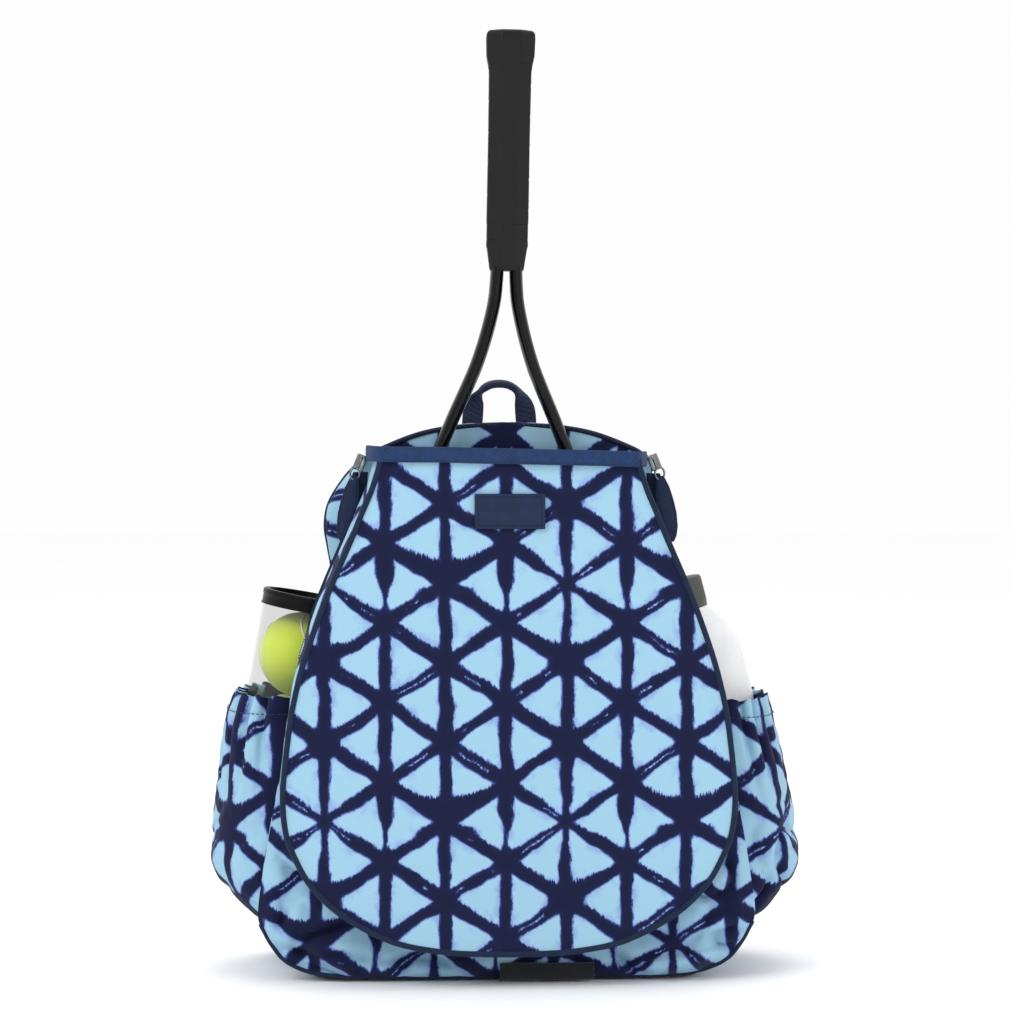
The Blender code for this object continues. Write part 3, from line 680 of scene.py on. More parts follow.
def turned(name, profile, matrix, steps=96, flute=None):
    """A turned piece from (radius, height), with an optional flute(angle, height) on its radius."""
    route = Path([Vector((r, h, 0)) for r, h in profile])
    rows = []
    for a, b in zip(profile, profile[1:]):
        length = math.dist(a, b)
        parts = max(1, int(length / 0.003))
        rows += [(a[0] + (b[0] - a[0]) * k / parts, a[1] + (b[1] - a[1]) * k / parts)
                 for k in range(parts)]
    rows.append(profile[-1])
    last = len(rows) - 1

    def place(u, v):
        radius, height = rows[round(v * last)]
        angle = math.tau * u
        if flute and radius > 0:
            radius += flute(angle, height)
        return matrix @ Vector((radius * math.cos(angle), radius * math.sin(angle), height))

    def cloth(u, v):
        return (math.tau * 0.03 * u, route.length * v)

    obj = grid(name, place, steps, last, cloth, closed=True)
    obj.data.set_sharp_from_angle(angle=math.radians(42))
    return obj


def join(name, pieces):
    """One object from several, keeping their maps."""
    for piece in pieces:
        for modifier in list(piece.modifiers):
            with bpy.context.temp_override(object=piece, active_object=piece,
                                           selected_objects=[piece]):
                bpy.ops.object.modifier_apply(modifier=modifier.name)
    with bpy.context.temp_override(active_object=pieces[0], selected_objects=pieces,
                                   selected_editable_objects=pieces, object=pieces[0]):
        bpy.ops.object.join()
    pieces[0].name = name
    pieces[0].data.name = name
    return pieces[0]


def stitches(name, points, length=0.0026, gap=0.0016, radius=0.00034, closed=False):
    """A run of short raised threads along a line."""
    path = Path(list(points) + ([points[0]] if closed else []))
    count = max(1, int(path.length / (length + gap)))
    runs = []
    for i in range(count):
        start = i / count
        end = start + length / path.length
        middle = path((start + end) / 2)
        lift = Vector((0, -0.2 * radius, 0))
        runs.append(cord_along(f"{name}_{i}", [path(start), middle + lift, path(end)], radius,
                               sides=1))
    return join(name, runs)


def rounded_block(name, size, matrix, bevel, segments=3):
    """A box with rounded edges."""
    work = bmesh.new()
    bmesh.ops.create_cube(work, size=1.0)
    bmesh.ops.scale(work, vec=size, verts=work.verts)
    bmesh.ops.bevel(work, geom=work.edges, offset=bevel, segments=segments, affect="EDGES",
                    profile=0.5)
    layer = work.loops.layers.uv.new("cloth")
    for face in work.faces:
        for loop in face.loops:
            loop[layer].uv = (loop.vert.co.x, loop.vert.co.z + loop.vert.co.y)
    return object_from(name, work, matrix, sharp=40)


def leaning(hold, along=0.0):
    """The stand of the can or the bottle, some way up its own axis."""
    base, lean, _ = hold
    stand = Matrix.Translation(base) @ Matrix.Rotation(lean, 4, "Y")
    return stand @ Matrix.Translation((0, 0, along))


def declare_sheet(obj, upright=False):
    """Works out the size of a sewn panel's flat cut without passing it on; an upright one is read from
    its outline.
    """
    area = sum(face.area for face in obj.data.polygons)
    if upright:
        spread = [(vert.co.x, vert.co.z) for vert in obj.data.vertices]
    else:
        spread = [tuple(loop.uv) for loop in obj.data.uv_layers["cloth"].data]
    wide, high = (max(side) - min(side) for side in zip(*spread))
    grow = max(1.0, math.sqrt(area / (wide * high)) * 1.002)
    wide * grow
    high * grow


def sew(obj, node, body="bag", upright=False):
    finish_piece(obj, "canvas", body, [node])
    declare_sheet(obj, upright)


# The racket pocket ---------------------------------------------------------------------------

TEAR = Path(smooth(TEARDROP, 8))
GUSSET_IN = 0.0018           # the gussets are sewn this far inside the piping
SEAM_Y = FRONT_Y - 0.0006    # where the racket pocket meets the bag's front


def panel_crown(x, z, half):
    """How far the front panel stands out, from its edge to its middle."""
    across = dome_across(x, half)
    up = ease(0.025, 0.16, z) * (1.0 - 0.45 * ease(0.30, 0.41, z))
    soft = 0.0055 * across ** 0.75 * up
    fold = 0.0010 * ripple(x, 3.1, z, 0.075) + 0.00035 * ripple(x, 5.7, z, 0.022)
    return soft + fold * min(1.0, 4 * across)


def front_panel():
    """Crowned teardrop of printed canvas."""
    edge = Path(offset(TEAR.points, 0.0016))

    def place(u, v):
        rim = edge(v)
        half = max(rim.x, 0.0)
        x = half * math.sin(math.pi * (u - 0.5))
        return Vector((x, PANEL_Y - panel_crown(x, rim.y, half) + 0.0012, rim.y))

    def cloth(u, v):
        point = place(u, v)
        return (point.x, point.z)

    return grid("racket_pocket_panel", place, 96, 150, cloth, thick=0.0018)


def pocket_side(name, low, high, side):
    """Gusset between the panel's piping and the bag, from share low to high of the outline."""
    inner = Path(offset(TEAR.points, GUSSET_IN))
    flare = 0.0052 if side < 0 else 0.0012

    front_y = PANEL_Y + 0.0015

    def place(u, v):
        share = low + (high - low) * v
        rim = inner(share)
        step = inner.along(share)
        out = Vector((step.y, -step.x))
        spread = flare * ease(0.0, 1.0, u) * ease(0.02, 0.12, rim.y)
        spread *= 0.62 + 0.38 * ease(0.195, 0.265, rim.y)
        belly = 0.0016 * math.sin(math.pi * u)
        pucker = 0.0009 * ripple(rim.x, u * 0.05, rim.y, 0.020) * math.sin(math.pi * u)
        rim = rim + out * (spread + belly + pucker)
        return Vector((side * rim.x, front_y + (SEAM_Y - front_y) * u, rim.y))

    def cloth(u, v):
        return (side * (0.31 + 0.038 * u), 0.02 + TEAR.length * (low + (high - low) * v))

    return grid(name, place, 16, 110, cloth, thick=CANVAS)


def share_at(path, z):
    """Share of the path's length where it first passes height z."""
    for mark, point in zip(path.marks, path.points):
        if point.y >= z:
            return mark / path.length
    return 1.0


def pocket_floor():
    """Sewn floor of the racket pocket, up to where the hinged gussets start."""
    inner = Path(offset(TEAR.points, 0.0030))
    top = share_at(inner, 0.0995)
    front_y = PANEL_Y + 0.0035

    def place(u, v):
        share = (2 * v - 1) * top
        rim = inner(abs(share))
        belly = 0.0010 * math.sin(math.pi * u)
        x = math.copysign(rim.x, share)
        return Vector((x, front_y + (SEAM_Y - front_y) * u, rim.y - belly))

    def cloth(u, v):
        return (TEAR.length * top * 2 * v, 0.5 + 0.038 * u)

    return grid("racket_pocket_floor", place, 12, 160, cloth, thick=CANVAS)


def tear_round(y):
    """The whole teardrop line as 3-D points, from the left top round to the right top."""
    right = [Vector((p.x, y, p.y)) for p in TEAR.points]
    return mirrored(right[1:]) + right


def band_line():
    """Plan line of the top band: from the left zip, across the front, to the right zip."""
    return smooth([
        (-0.1065, -0.0625, 0.4034), (-0.1040, -0.0800, 0.4034), (-0.0990, -0.0935, 0.4032),
        (-0.0900, -0.0985, 0.4030), (-0.0500, -0.1005, 0.4026), (0.0, -0.1015, 0.4016),
        (0.0500, -0.1005, 0.4004), (0.0900, -0.0985, 0.3992), (0.0975, -0.0935, 0.3988),
        (0.1020, -0.0800, 0.3986), (0.1045, -0.0625, 0.3986),
    ], 10)


def top_band():
    """Twill binding folded over the pocket's open edge."""
    route = Path(band_line())
    height, wall = 0.0118, 0.0016
    around = 24
    section = [soft_square(k / around, 0.5, 0.4) for k in range(around)]

    def place(u, v):
        centre = route(v)
        along = route.along(v)
        out = Vector((along.y, -along.x, 0)).normalized()
        deep, tall = section[round(u * around) % around]
        end = min(1.0, min(v, 1 - v) * 60 + 0.05)
        wave = 0.0005 * ripple(centre.x, 0.4, 0.0, 0.045)
        rise = height / 2 * tall * end + wave
        return centre + out * (wall * deep * end + 0.0003) + Vector((0, 0, rise))

    def cloth(u, v):
        return (route.length * v, 0.03 * u)

    return grid("pocket_top_band", place, around, 200, cloth, closed=True)


def label_patch():
    """Plain leather patch and the thread round it."""
    centre = Vector((0.0, PANEL_Y - 0.0062, 0.3602))
    size = (0.0530, 0.0017, 0.0265)
    patch = rounded_block("leather_label", size, Matrix.Translation(centre), 0.0006)
    edge = []
    for cx, cz, start in ((0.0231, 0.0098, 0), (-0.0231, 0.0098, 90), (-0.0231, -0.0098, 180),
                          (0.0231, -0.0098, 270)):
        for k in range(4):
            angle = math.radians(start + 30 * k)
            edge.append(centre + Vector((cx + 0.001 * math.cos(angle), -0.0009,
                                         cz + 0.001 * math.sin(angle))))
    thread = stitches("label_stitching", edge, 0.0020, 0.0010, 0.00036, closed=True)
    return patch, thread


def zip_chain(name, points, side):
    """Two rows of small teeth on a tape, along a line; side tells which way they face."""
    path = Path(points)
    count = int(path.length / 0.0021)
    teeth = []
    for i in range(count):
        share = (i + 0.5) / count
        along = path.along(share)
        turn = along.to_track_quat("Z", "Y").to_matrix().to_4x4()
        shift = side * (0.0008 if i % 2 else -0.0008)
        place = Matrix.Translation(path(share)) @ turn @ Matrix.Translation((shift, 0, 0))
        teeth.append(rounded_block(f"{name}_{i}", (0.0026, 0.0015, 0.0011), place, 0.0003, 1))
    return join(name, teeth)


def side_edge(outline):
    """Half widths of an outline by height, up to its shoulders."""
    return sorted((z, x) for x, z in smooth(outline, 4) if x > 0.09)


def zip_tape(name, points, side):
    """Woven tape from under the teeth of a side zip to the bag's front."""
    path = Path(points)
    front = side_edge(FRONT_OUTLINE)
    past = 0.0024 if side < 0 else 0.0014

    def place(u, v):
        teeth = path(v)
        outer = abs(teeth.x) + past - 0.0045 * (1.0 - ease(0.245, 0.285, teeth.z))
        inner = min(value_at(front, teeth.z) - 0.0040, outer - 0.0030)
        return Vector((side * (outer + (inner - outer) * u), FRONT_Y - 0.00035, teeth.z))

    def cloth(u, v):
        return (0.012 * u, path.length * v)

    return grid(name, place, 6, 90, cloth, thick=0.0006)


# Body of the bag -----------------------------------------------------------------------------

def wall_at(side):
    """Half width of the hollow side wall at height z, beside what the pocket holds."""
    hold, clearance = (CAN, 0.0026) if side < 0 else (BOTTLE, 0.0022)
    base, lean, radius = hold
    foot = abs(base.x) - (radius + clearance) * math.cos(lean)
    level = base.z - (radius + clearance) * math.sin(abs(lean))
    slope = math.tan(abs(lean))

    def at(z):
        return max(foot - slope * (z - level), 0.0903)

    return at


def outline_cloth(name, outline, y, belly, faces):
    """A filled upright outline whose cloth swells and creases; it faces front at -1, back at 1."""
    edge = Path(smooth(outline, 6))

    def place(u, v):
        rim = edge(v)
        half = max(rim.x, 0.0)
        x = half * math.sin(math.pi * (u - 0.5))
        return Vector((x, y + faces * belly(x, rim.y, half), rim.y))

    def cloth(u, v):
        point = place(u, v)
        if faces > 0:
            return (point.x + 0.4, point.z)
        dome_cut = 0.022 * ease(0.375, 0.395, point.z)
        foot_cut = 0.098 * (1.0 - ease(0.25, 0.30, point.z))
        return (point.x + foot_cut, point.z + foot_cut - dome_cut)

    return grid(name, place, 120, 170, cloth, thick=CANVAS)


def front_belly(x, z, half):
    """The lower corners puff out under the racket pocket and crease toward the seams."""
    rim = dome_across(x, half)
    free = min(1.0, 6 * rim)                     # the cloth is held at its edge seam
    foot = ease(0.0, 0.010, z)
    corner = (1.0 - ease(0.05, 0.20, z)) * ease(0.09, 0.15, abs(x)) * min(1.0, 5 * rim)
    under = (1.0 - ease(0.012, 0.034, z)) * foot
    swell = 0.015 * corner * ease(0.0, 0.03, z) + 0.010 * under * min(1.0, 3 * rim)
    valley = crease(x * 0.55, 2.0, z, 0.034) * 0.0130 + crease(x * 0.5, 9.0, z, 0.020, 0.18) * 0.0055
    soft = 0.0040 * ripple(x, 1.0, z, 0.020)
    loose = max(corner, 0.8 * under) * foot * free
    fold_z = 0.0155 + 0.0040 * ripple(x, 12.0, 0.0, 0.035) + 0.12 * max(0.0, abs(x) - 0.09)
    long_fold = 0.0066 * math.exp(-((z - fold_z) / 0.0034) ** 2) * ease(0.030, 0.060, abs(x))
    dome = 0.0030 * ease(0.395, 0.412, z) * rim
    return swell + (soft - valley) * loose - long_fold * free + dome


def rear_belly(x, z, half):
    """The back is nearly flat, with slow waves."""
    rim = dome_across(x, half)
    return 0.0010 * min(1.0, 3 * rim) + 0.0006 * ripple(x, 7.0, z, 0.04) * min(1.0, 4 * rim)


def side_wall(name, side):
    """Cloth between the front and the back, hollowed where the can or bottle leans on it."""
    wall = wall_at(side)
    front = side_edge(FRONT_OUTLINE)
    back = side_edge(BACK_OUTLINE)
    foot = 0.0015
    below_hold = 0.05            # the can and the bottle stand above this height
    front_y = FRONT_Y + 0.0012
    rear_y = BACK_Y + 0.002

    def place(u, v):
        z = foot + (WALL_TOP - foot) * v
        head = ease(0.385, WALL_TOP, z)
        before = value_at(front, z)
        behind = value_at(back, z)
        hollow = min(wall(z), max(before, behind)) if z < below_hold else wall(z)
        into = ease(0.0, 0.24, u)
        outof = ease(0.84, 1.0, u)
        hollow = hollow + (0.0925 - hollow) * head
        x = before + (hollow - before) * into
        x = x + (behind - x) * outof
        x -= abs(0.0011 * ripple(side * 0.3 + u * 0.13, 0.0, z, 0.030))
        return Vector((side * x, front_y + (rear_y - front_y) * u, z))

    def cloth(u, v):
        return (side * (0.62 + 0.137 * u), foot + (WALL_TOP - foot) * v + 0.013)

    return grid(name, place, 60, 130, cloth, thick=CANVAS)


def base_tray():
    """Coated cloth lying flat under the bag."""
    outline = Path(smooth([
        (0.0, -0.0552), (0.110, -0.0548), (0.140, -0.0480), (0.1490, -0.0300), (0.1500, 0.015),
        (0.1490, 0.0620), (0.140, 0.0800), (0.110, 0.0870), (0.0, 0.0874),
    ], 6))

    def place(u, v):
        rim = outline(v)
        x = rim.x * (2 * u - 1)
        lift = 0.0008 * max(0.0, ripple(x, rim.y, 0.0, 0.03))
        return Vector((x, rim.y, 0.0016 + lift))

    def cloth(u, v):
        point = place(u, v)
        return (point.x, point.y)

    return grid("base_cloth", place, 60, 60, cloth, thick=CANVAS)


def foot_binding():
    """Dark tape sewn along the front foot; its black is also painted shade where the cloth meets the
    floor.
    """
    wide, high = 0.072, 0.0125

    def place(u, v):
        x = -0.006 + wide * u
        z = 0.0012 + high * v
        bow = 0.0016 * math.sin(math.pi * v)
        return Vector((x, FRONT_Y - 0.0102 - bow + 0.002 * v, z + 0.0006 * ripple(x, 0, 0, 0.02)))

    def cloth(u, v):
        return (wide * u, high * v)

    return grid("foot_binding", place, 60, 10, cloth, thick=0.0014)


def round_dome(y, drop):
    """The dome's line as 3-D points from right to left, some way under its edge."""
    right = [Vector((p.x, y, p.y)) for p in offset(smooth(DOME, 8), drop)]
    return right + mirrored(right[:-1])


def flap_cloth():
    """Crowned lid between the front and the back."""
    half = [p for p in smooth(DOME, 8) if p.x <= 0.1035]
    line = Path([Vector((-p.x, p.y)) for p in half] + half[-2::-1])
    front_y, rear_y = -0.0478, 0.0812

    def place(u, v):
        rim = line(u)
        y = front_y + (rear_y - front_y) * v
        sag = -0.0034 - 0.0056 * ease(0.0, 1.0, v) + 0.0006 * ripple(rim.x, y, 0.0, 0.03)
        return Vector((rim.x, y, rim.y + sag))

    def cloth(u, v):
        return (line.length * (u - 0.5), 0.44 + (rear_y - front_y) * v)

    return grid("top_flap_cloth", place, 100, 50, cloth, thick=0.0018)


# Side pockets --------------------------------------------------------------------------------

def pocket_line(side, table, z, share):
    """Plan point of a side pocket at height z, share 0 at the front seam and 1 at the back."""
    ends = 0.166                 # half width where the pocket leaves the wall's two seams
    wall = wall_at(side)
    reach = value_at(table, z) - ends
    inner = min(wall(z) + 0.004, ends)
    front_y, rear_y = -0.0495, 0.0785
    middle, half = (front_y + rear_y) / 2, (rear_y - front_y) / 2
    seam = 0.14                  # share of the line that runs straight out from a seam
    if share < seam:
        t = share / seam
        return Vector((inner + (ends - inner) * t, front_y))
    if share > 1 - seam:
        t = (1 - share) / seam
        return Vector((inner + (ends - inner) * t, rear_y))
    across, deep = soft_square((share - seam) / (1 - 2 * seam) / 2 - 0.25, 0.66, 0.88)
    return Vector((ends + reach * across, middle + half * deep))


def side_pocket(name, side, table, low, high, gathers, seed):
    """Gathered pocket cloth between two heights, with folds that run down from the hem."""
    bottom = low <= table[0][0] + 1e-6           # this stretch starts at the floor seam

    def height(v):
        return low + (high - low) * (v ** 1.35 if bottom else v)

    def place(u, v):
        z = height(v)
        at = pocket_line(side, table, z, u)
        next_at = pocket_line(side, table, z, min(u + 0.01, 1.0))
        last_at = pocket_line(side, table, z, max(u - 0.01, 0.0))
        along = (next_at - last_at).normalized()
        out = Vector((along.y, -along.x))
        # The folds fade out toward the two sewn sides and, by height, away from the elastic.
        free = math.sin(math.pi * min(max((u - 0.04) / 0.92, 0.0), 1.0)) ** 0.4
        near_top = ease(0.120, table[-1][0] - 0.010, z)
        phase = 1.6 * ripple(u * 0.2, seed, z * 0.3, 0.035)
        pleat = math.sin(u * gathers * math.tau + phase * 2.6)
        folds = 0.0042 * (pleat - 0.7 * abs(pleat)) * near_top
        slow = 0.0030 * ripple(u * 0.25, seed + 2.0, z * 0.35, 0.045)
        valley = crease(u * 0.16, seed, z * 0.9, 0.030, 0.14) * (1 - ease(0.06, 0.165, z))
        fine = 0.0008 * ripple(u * 0.3, seed + 4.0, z, 0.009)
        swell = (folds + slow + fine - 0.0085 * valley) * free
        at = at + out * min(swell - 0.0012, 0.0002)
        drop = 0.0014 * pleat * near_top * (z > 0.19)
        return Vector((side * at.x, at.y, z + drop))

    def cloth(u, v):
        return (side * (0.165 + 0.26 * u) - 0.02 * side, height(v) + 0.012)

    return grid(name, place, 170, 110 if bottom else 14, cloth, thick=0.0015)


def pocket_bottom(name, side, table):
    """Sewn floor of a side pocket."""
    z = table[0][0]
    middle = Vector((0.160, 0.0145))

    def place(u, v):
        at = middle.lerp(pocket_line(side, table, z, u), v)
        return Vector((side * at.x, at.y, z - 0.0004 + 0.0022 * (1 - v)))

    def cloth(u, v):
        point = place(u, v)
        return (point.x, point.y + 0.3)

    return grid(name, place, 80, 10, cloth, thick=0.0014)


# Operators -----------------------------------------------------------------------------------

class BackpackColours(bpy.types.PropertyGroup):
    light: bpy.props.FloatVectorProperty(
        name="Light blue", description="Undyed triangles of the print", subtype="COLOR",
        default=linear(149, 190, 212), min=0.0, max=1.0)
    halo: bpy.props.FloatVectorProperty(
        name="Halo", description="Pale edge where the dye has spread", subtype="COLOR",
        default=linear(130, 156, 206), min=0.0, max=1.0)
    wash: bpy.props.FloatVectorProperty(
        name="Wash", description="Half-strength dye", subtype="COLOR",
        default=linear(60, 76, 142), min=0.0, max=1.0)
    navy: bpy.props.FloatVectorProperty(
        name="Navy", description="Full-strength dye", subtype="COLOR",
        default=linear(22, 28, 64), min=0.0, max=1.0)
    binding: bpy.props.FloatVectorProperty(
        name="Binding", description="Twill binding and corded edges", subtype="COLOR",
        default=linear(24, 50, 90), min=0.0, max=1.0)
    webbing: bpy.props.FloatVectorProperty(
        name="Webbing", description="Haul loop and strap webbing", subtype="COLOR",
        default=linear(24, 32, 58), min=0.0, max=1.0)
    leather: bpy.props.FloatVectorProperty(
        name="Leather", description="Label patch and zip pulls", subtype="COLOR",
        default=linear(14, 31, 62), min=0.0, max=1.0)
    ball: bpy.props.FloatVectorProperty(
        name="Ball", description="Felt of the balls", subtype="COLOR",
        default=linear(222, 255, 50), min=0.0, max=1.0)
    bottle: bpy.props.FloatVectorProperty(
        name="Bottle", description="Coat of the bottle", subtype="COLOR",
        default=linear(222, 222, 224), min=0.0, max=1.0)


class BackpackSizes(bpy.types.PropertyGroup):
    piping: bpy.props.FloatProperty(
        name="Piping", description="Radius of the corded edge of the racket pocket",
        default=0.0022, unit="LENGTH", min=0.001, max=0.004)
    string: bpy.props.FloatProperty(
        name="String", description="Radius of the racket strings",
        default=0.00065, unit="LENGTH", min=0.0004, max=0.001)
    mains: bpy.props.IntProperty(
        name="Main strings", description="Strings along the racket", default=16, min=12, max=20)
    crosses: bpy.props.IntProperty(
        name="Cross strings", description="Strings across the racket", default=19, min=14, max=24)
    gathers: bpy.props.IntProperty(
        name="Gathers", description="Folds under a side pocket's elastic", default=13, min=4,
        max=30)


def settings():
    scene = bpy.context.scene
    return scene.backpack_colours, scene.backpack_sizes


class BACKPACK_OT_stage(bpy.types.Operator):
    """Camera, soft light and a pale floor"""
    bl_idname = "backpack.stage"
    bl_label = "Stage"

    def execute(self, context):
        scene = context.scene
        scene.view_settings.view_transform = "Standard"
        azimuth, elevation, distance = math.radians(-2.5), math.radians(2.0), 2.6
        target = Vector((0.0007, 0.0, 0.3615))
        back = Vector((math.sin(azimuth) * math.cos(elevation),
                       -math.cos(azimuth) * math.cos(elevation), math.sin(elevation)))
        camera = bpy.data.objects.new("camera", bpy.data.cameras.new("camera"))
        scene.collection.objects.link(camera)
        camera.data.lens = 119.0
        camera.data.sensor_width = 36.0
        camera.location = target + distance * back
        camera.rotation_euler = back.to_track_quat("Z", "Y").to_euler()
        scene.camera = camera

        world = bpy.data.worlds.new("studio")
        scene.world = world
        world.use_nodes = True
        world.node_tree.nodes["Background"].inputs[0].default_value = (1.0, 1.0, 1.0, 1.0)
        world.node_tree.nodes["Background"].inputs[1].default_value = 0.99

        for name, place, size, energy in (
            ("key", (-1.5, -1.7, 2.1), (1.0, 1.0), 27.0),
            ("fill", (1.9, -1.6, 1.0), (1.5, 1.5), 8.0),
            ("top", (0.1, 0.4, 2.3), (1.5, 1.5), 13.0),
            ("strip", (0.18, -2.4, 0.30), (0.16, 1.4), 4.0),
        ):
            lamp = bpy.data.objects.new(name, bpy.data.lights.new(name, "AREA"))
            lamp.data.energy = energy
            lamp.data.shape = "RECTANGLE"
            lamp.data.size, lamp.data.size_y = size
            lamp.location = place
            lamp.rotation_euler = (Vector(place) - target).to_track_quat("Z", "Y").to_euler()
            scene.collection.objects.link(lamp)

        bpy.ops.mesh.primitive_plane_add(size=16.0, location=(0.0, 0.0, -0.0012))
        floor = context.active_object
        floor.name = "floor"
        paper = Look("floor_paper", (0.96, 0.96, 0.96), 0.9)
        speck = paper.noise(paper.place(), 3.0, 2.0)
        paper.link("Base Color", paper.mix(speck, (0.975, 0.975, 0.975), (0.99, 0.99, 0.99)))
        floor.data.materials.append(paper.material)
        return {"FINISHED"}


class BACKPACK_OT_materials(bpy.types.Operator):
    """Canvas print, tapes, leather, plastics and metals"""
    bl_idname = "backpack.materials"
    bl_label = "Materials"

    def execute(self, context):
        colours, _ = settings()
        make_looks({key: tuple(getattr(colours, key)) for key in BackpackColours.__annotations__})
        return {"FINISHED"}


class BACKPACK_OT_racket_pocket(bpy.types.Operator):
    """Teardrop panel, its gussets, floor and corded edge"""
    bl_idname = "backpack.racket_pocket"
    bl_label = "Racket pocket"

    def execute(self, context):
        _, sizes = settings()
        sew(front_panel(), "pocket_panel", "pocket_front")
        low = share_at(Path(offset(TEAR.points, GUSSET_IN)), 0.1045)
        for side, word in SIDES:
            gusset = pocket_side(f"racket_pocket_gusset_{word}", low, 1.0, side)
            sew(gusset, f"pocket_gusset_{word}", "pocket_front")
        sew(pocket_floor(), "pocket_floor")
        cord = cord_along("racket_pocket_piping", tear_round(PANEL_Y + 0.0003), sizes.piping)
        finish_piece(cord, "cord", "pocket_front", ["pocket_piping"])
        return {"FINISHED"}


class BACKPACK_OT_pocket_trim(bpy.types.Operator):
    """Top band, label patch and side zips of the racket pocket"""
    bl_idname = "backpack.pocket_trim"
    bl_label = "Pocket trim"

    def execute(self, context):
        band = top_band()
        finish_piece(band, "binding", "pocket_front", ["pocket_band"])
        lower = [Vector((p.x, p.y - 0.0018, p.z - 0.0042)) for p in band_line()[18:-18]]
        finish_piece(stitches("band_stitching", lower), "thread", "pocket_front")
        patch, thread = label_patch()
        finish_piece(patch, "leather", "pocket_front", ["label_patch"])
        finish_piece(thread, "webbing", "pocket_front")
        zip_x, zip_z = ZIP_TOP
        low, high = 0.245, 0.389
        for side, word in SIDES:
            shift = -0.0044 if side < 0 else -0.0004
            points = []
            for point in offset(TEAR.points, shift):
                if not low < point.y < high:
                    continue
                reach = zip_x + ZIP_SLOPE * (zip_z - point.y) - point.x
                x = point.x + reach * ease(0.330, high, point.y)
                points.append(Vector((side * x, FRONT_Y - 0.0014, point.y)))
            chain = zip_chain(f"pocket_zip_{word}", points, side)
            finish_piece(chain, "teeth", "bag")
            tape = zip_tape(f"zip_tape_{word}", points, side)
            finish_piece(tape, "cord", "bag")
            declare_sheet(tape)
        return {"FINISHED"}


class BACKPACK_OT_body(bpy.types.Operator):
    """Front, back, side walls, base and foot binding of the bag, with the foot binding and base piping
    dark also as painted shade at its foot
    """
    bl_idname = "backpack.body"
    bl_label = "Bag body"

    def execute(self, context):
        front = outline_cloth("bag_front_cloth", FRONT_OUTLINE, FRONT_Y + 0.0008, front_belly, -1)
        sew(front, "front_wall", upright=True)
        back = outline_cloth("bag_back_cloth", BACK_OUTLINE, BACK_Y + 0.0045, rear_belly, 1)
        finish_piece(back, "nylon", "bag", ["back_panel"])
        declare_sheet(back)
        for side, word in SIDES:
            sew(side_wall(f"side_wall_{word}", side), f"side_gusset_{word}")
        base = base_tray()
        finish_piece(base, "nylon", "bag", ["base_panel"])
        declare_sheet(base)
        # black strip at the front foot: a binding, and also painted shade where the cloth turns under
        finish_piece(foot_binding(), "nylon", "bag")
        # dark navy cord along the front's bottom seam, also painted shade where the cloth rolls under the
        # bag
        rim = [Vector((p.x, FRONT_Y - 0.0006, p.y + 0.0006))
               for p in smooth(FRONT_OUTLINE, 5) if p.y < 0.045]
        rim = mirrored(rim[1:]) + rim
        finish_piece(cord_along("base_piping", rim, 0.0016), "cord", "bag")
        edge = [Vector((p.x, BACK_Y + 0.0045, p.y)) for p in smooth(BACK_OUTLINE, 5)[6:]]
        edge += mirrored(edge[:-1])
        finish_piece(cord_along("back_piping", edge, 0.0019), "cord", "bag")
        return {"FINISHED"}


class BACKPACK_OT_top(bpy.types.Operator):
    """Top flap with its zip, the dome's corded edge and the haul loop"""
    bl_idname = "backpack.top"
    bl_label = "Top"

    def execute(self, context):
        edge = cord_along("dome_cord", round_dome(FRONT_Y - 0.0010, 0.0014), 0.0019)
        finish_piece(edge, "webbing", "bag", ["dome_piping"])
        sew(flap_cloth(), "top_flap", "flap")
        zip_half = 0.1005
        line = [p for p in round_dome(-0.0440, 0.0026) if abs(p.x) < zip_half]
        chain = zip_chain("flap_zip", line, 1)
        finish_piece(chain, "teeth", "flap", ["main_zip"])
        self.slider()
        self.loop()
        return {"FINISHED"}

    def slider(self):
        """Slider of the top zip, with its leather pull laid back over the flap."""
        place = Matrix.Translation((0.0600, -0.0425, 0.4165)) @ Matrix.Rotation(0.36, 4, "Y")
        shell = rounded_block("flap_slider", (0.0120, 0.0070, 0.0034), place, 0.0010)
        finish_piece(shell, "metal", "flap", ["main_zip_slider"])
        leaf = rounded_block("flap_pull", (0.0100, 0.0300, 0.0018),
                             place @ Matrix.Translation((0.0, 0.0200, -0.0010)), 0.0007)
        finish_piece(leaf, "leather", "flap", ["main_zip_pull"])

    def loop(self):
        """Webbing that leaves the back flat and turns edge-on at its top."""
        half = [(0.0215, 0.0905, 0.396), (0.0218, 0.0905, 0.412), (0.0216, 0.0908, 0.426),
                (0.0200, 0.0912, 0.4385), (0.0155, 0.0920, 0.4490), (0.0085, 0.0920, 0.4545),
                (0.0, 0.0920, 0.4560)]
        path = Path(smooth([(-x, y, z) for x, y, z in half[:-1]] + half[::-1], 8))
        around = 20
        ring = [soft_square(k / around, 0.35, 0.8) for k in range(around)]

        def place(u, v):
            centre = path(v)
            along = path.along(v)
            top = ease(0.24, 0.42, v) * (1 - ease(0.58, 0.76, v))
            wide = Vector((1, 0, 0)) * (1 - top) + Vector((0, 0.62, 0.10)) * top
            wide = (wide - along * wide.dot(along)).normalized()
            thin = along.cross(wide).normalized()
            half = 0.0083 - 0.0020 * top
            a, b = ring[round(u * around) % around]
            end = 1.0 if 0.001 < v < 0.999 else 0.0
            return centre + wide * (a * half * end) + thin * (b * (0.0012 + 0.0016 * top) * end)

        def cloth(u, v):
            return (0.04 * u, path.length * v)

        loop = grid("haul_loop_webbing", place, around, 120, cloth, closed=True)
        finish_piece(loop, "webbing", "bag", ["haul_loop"])


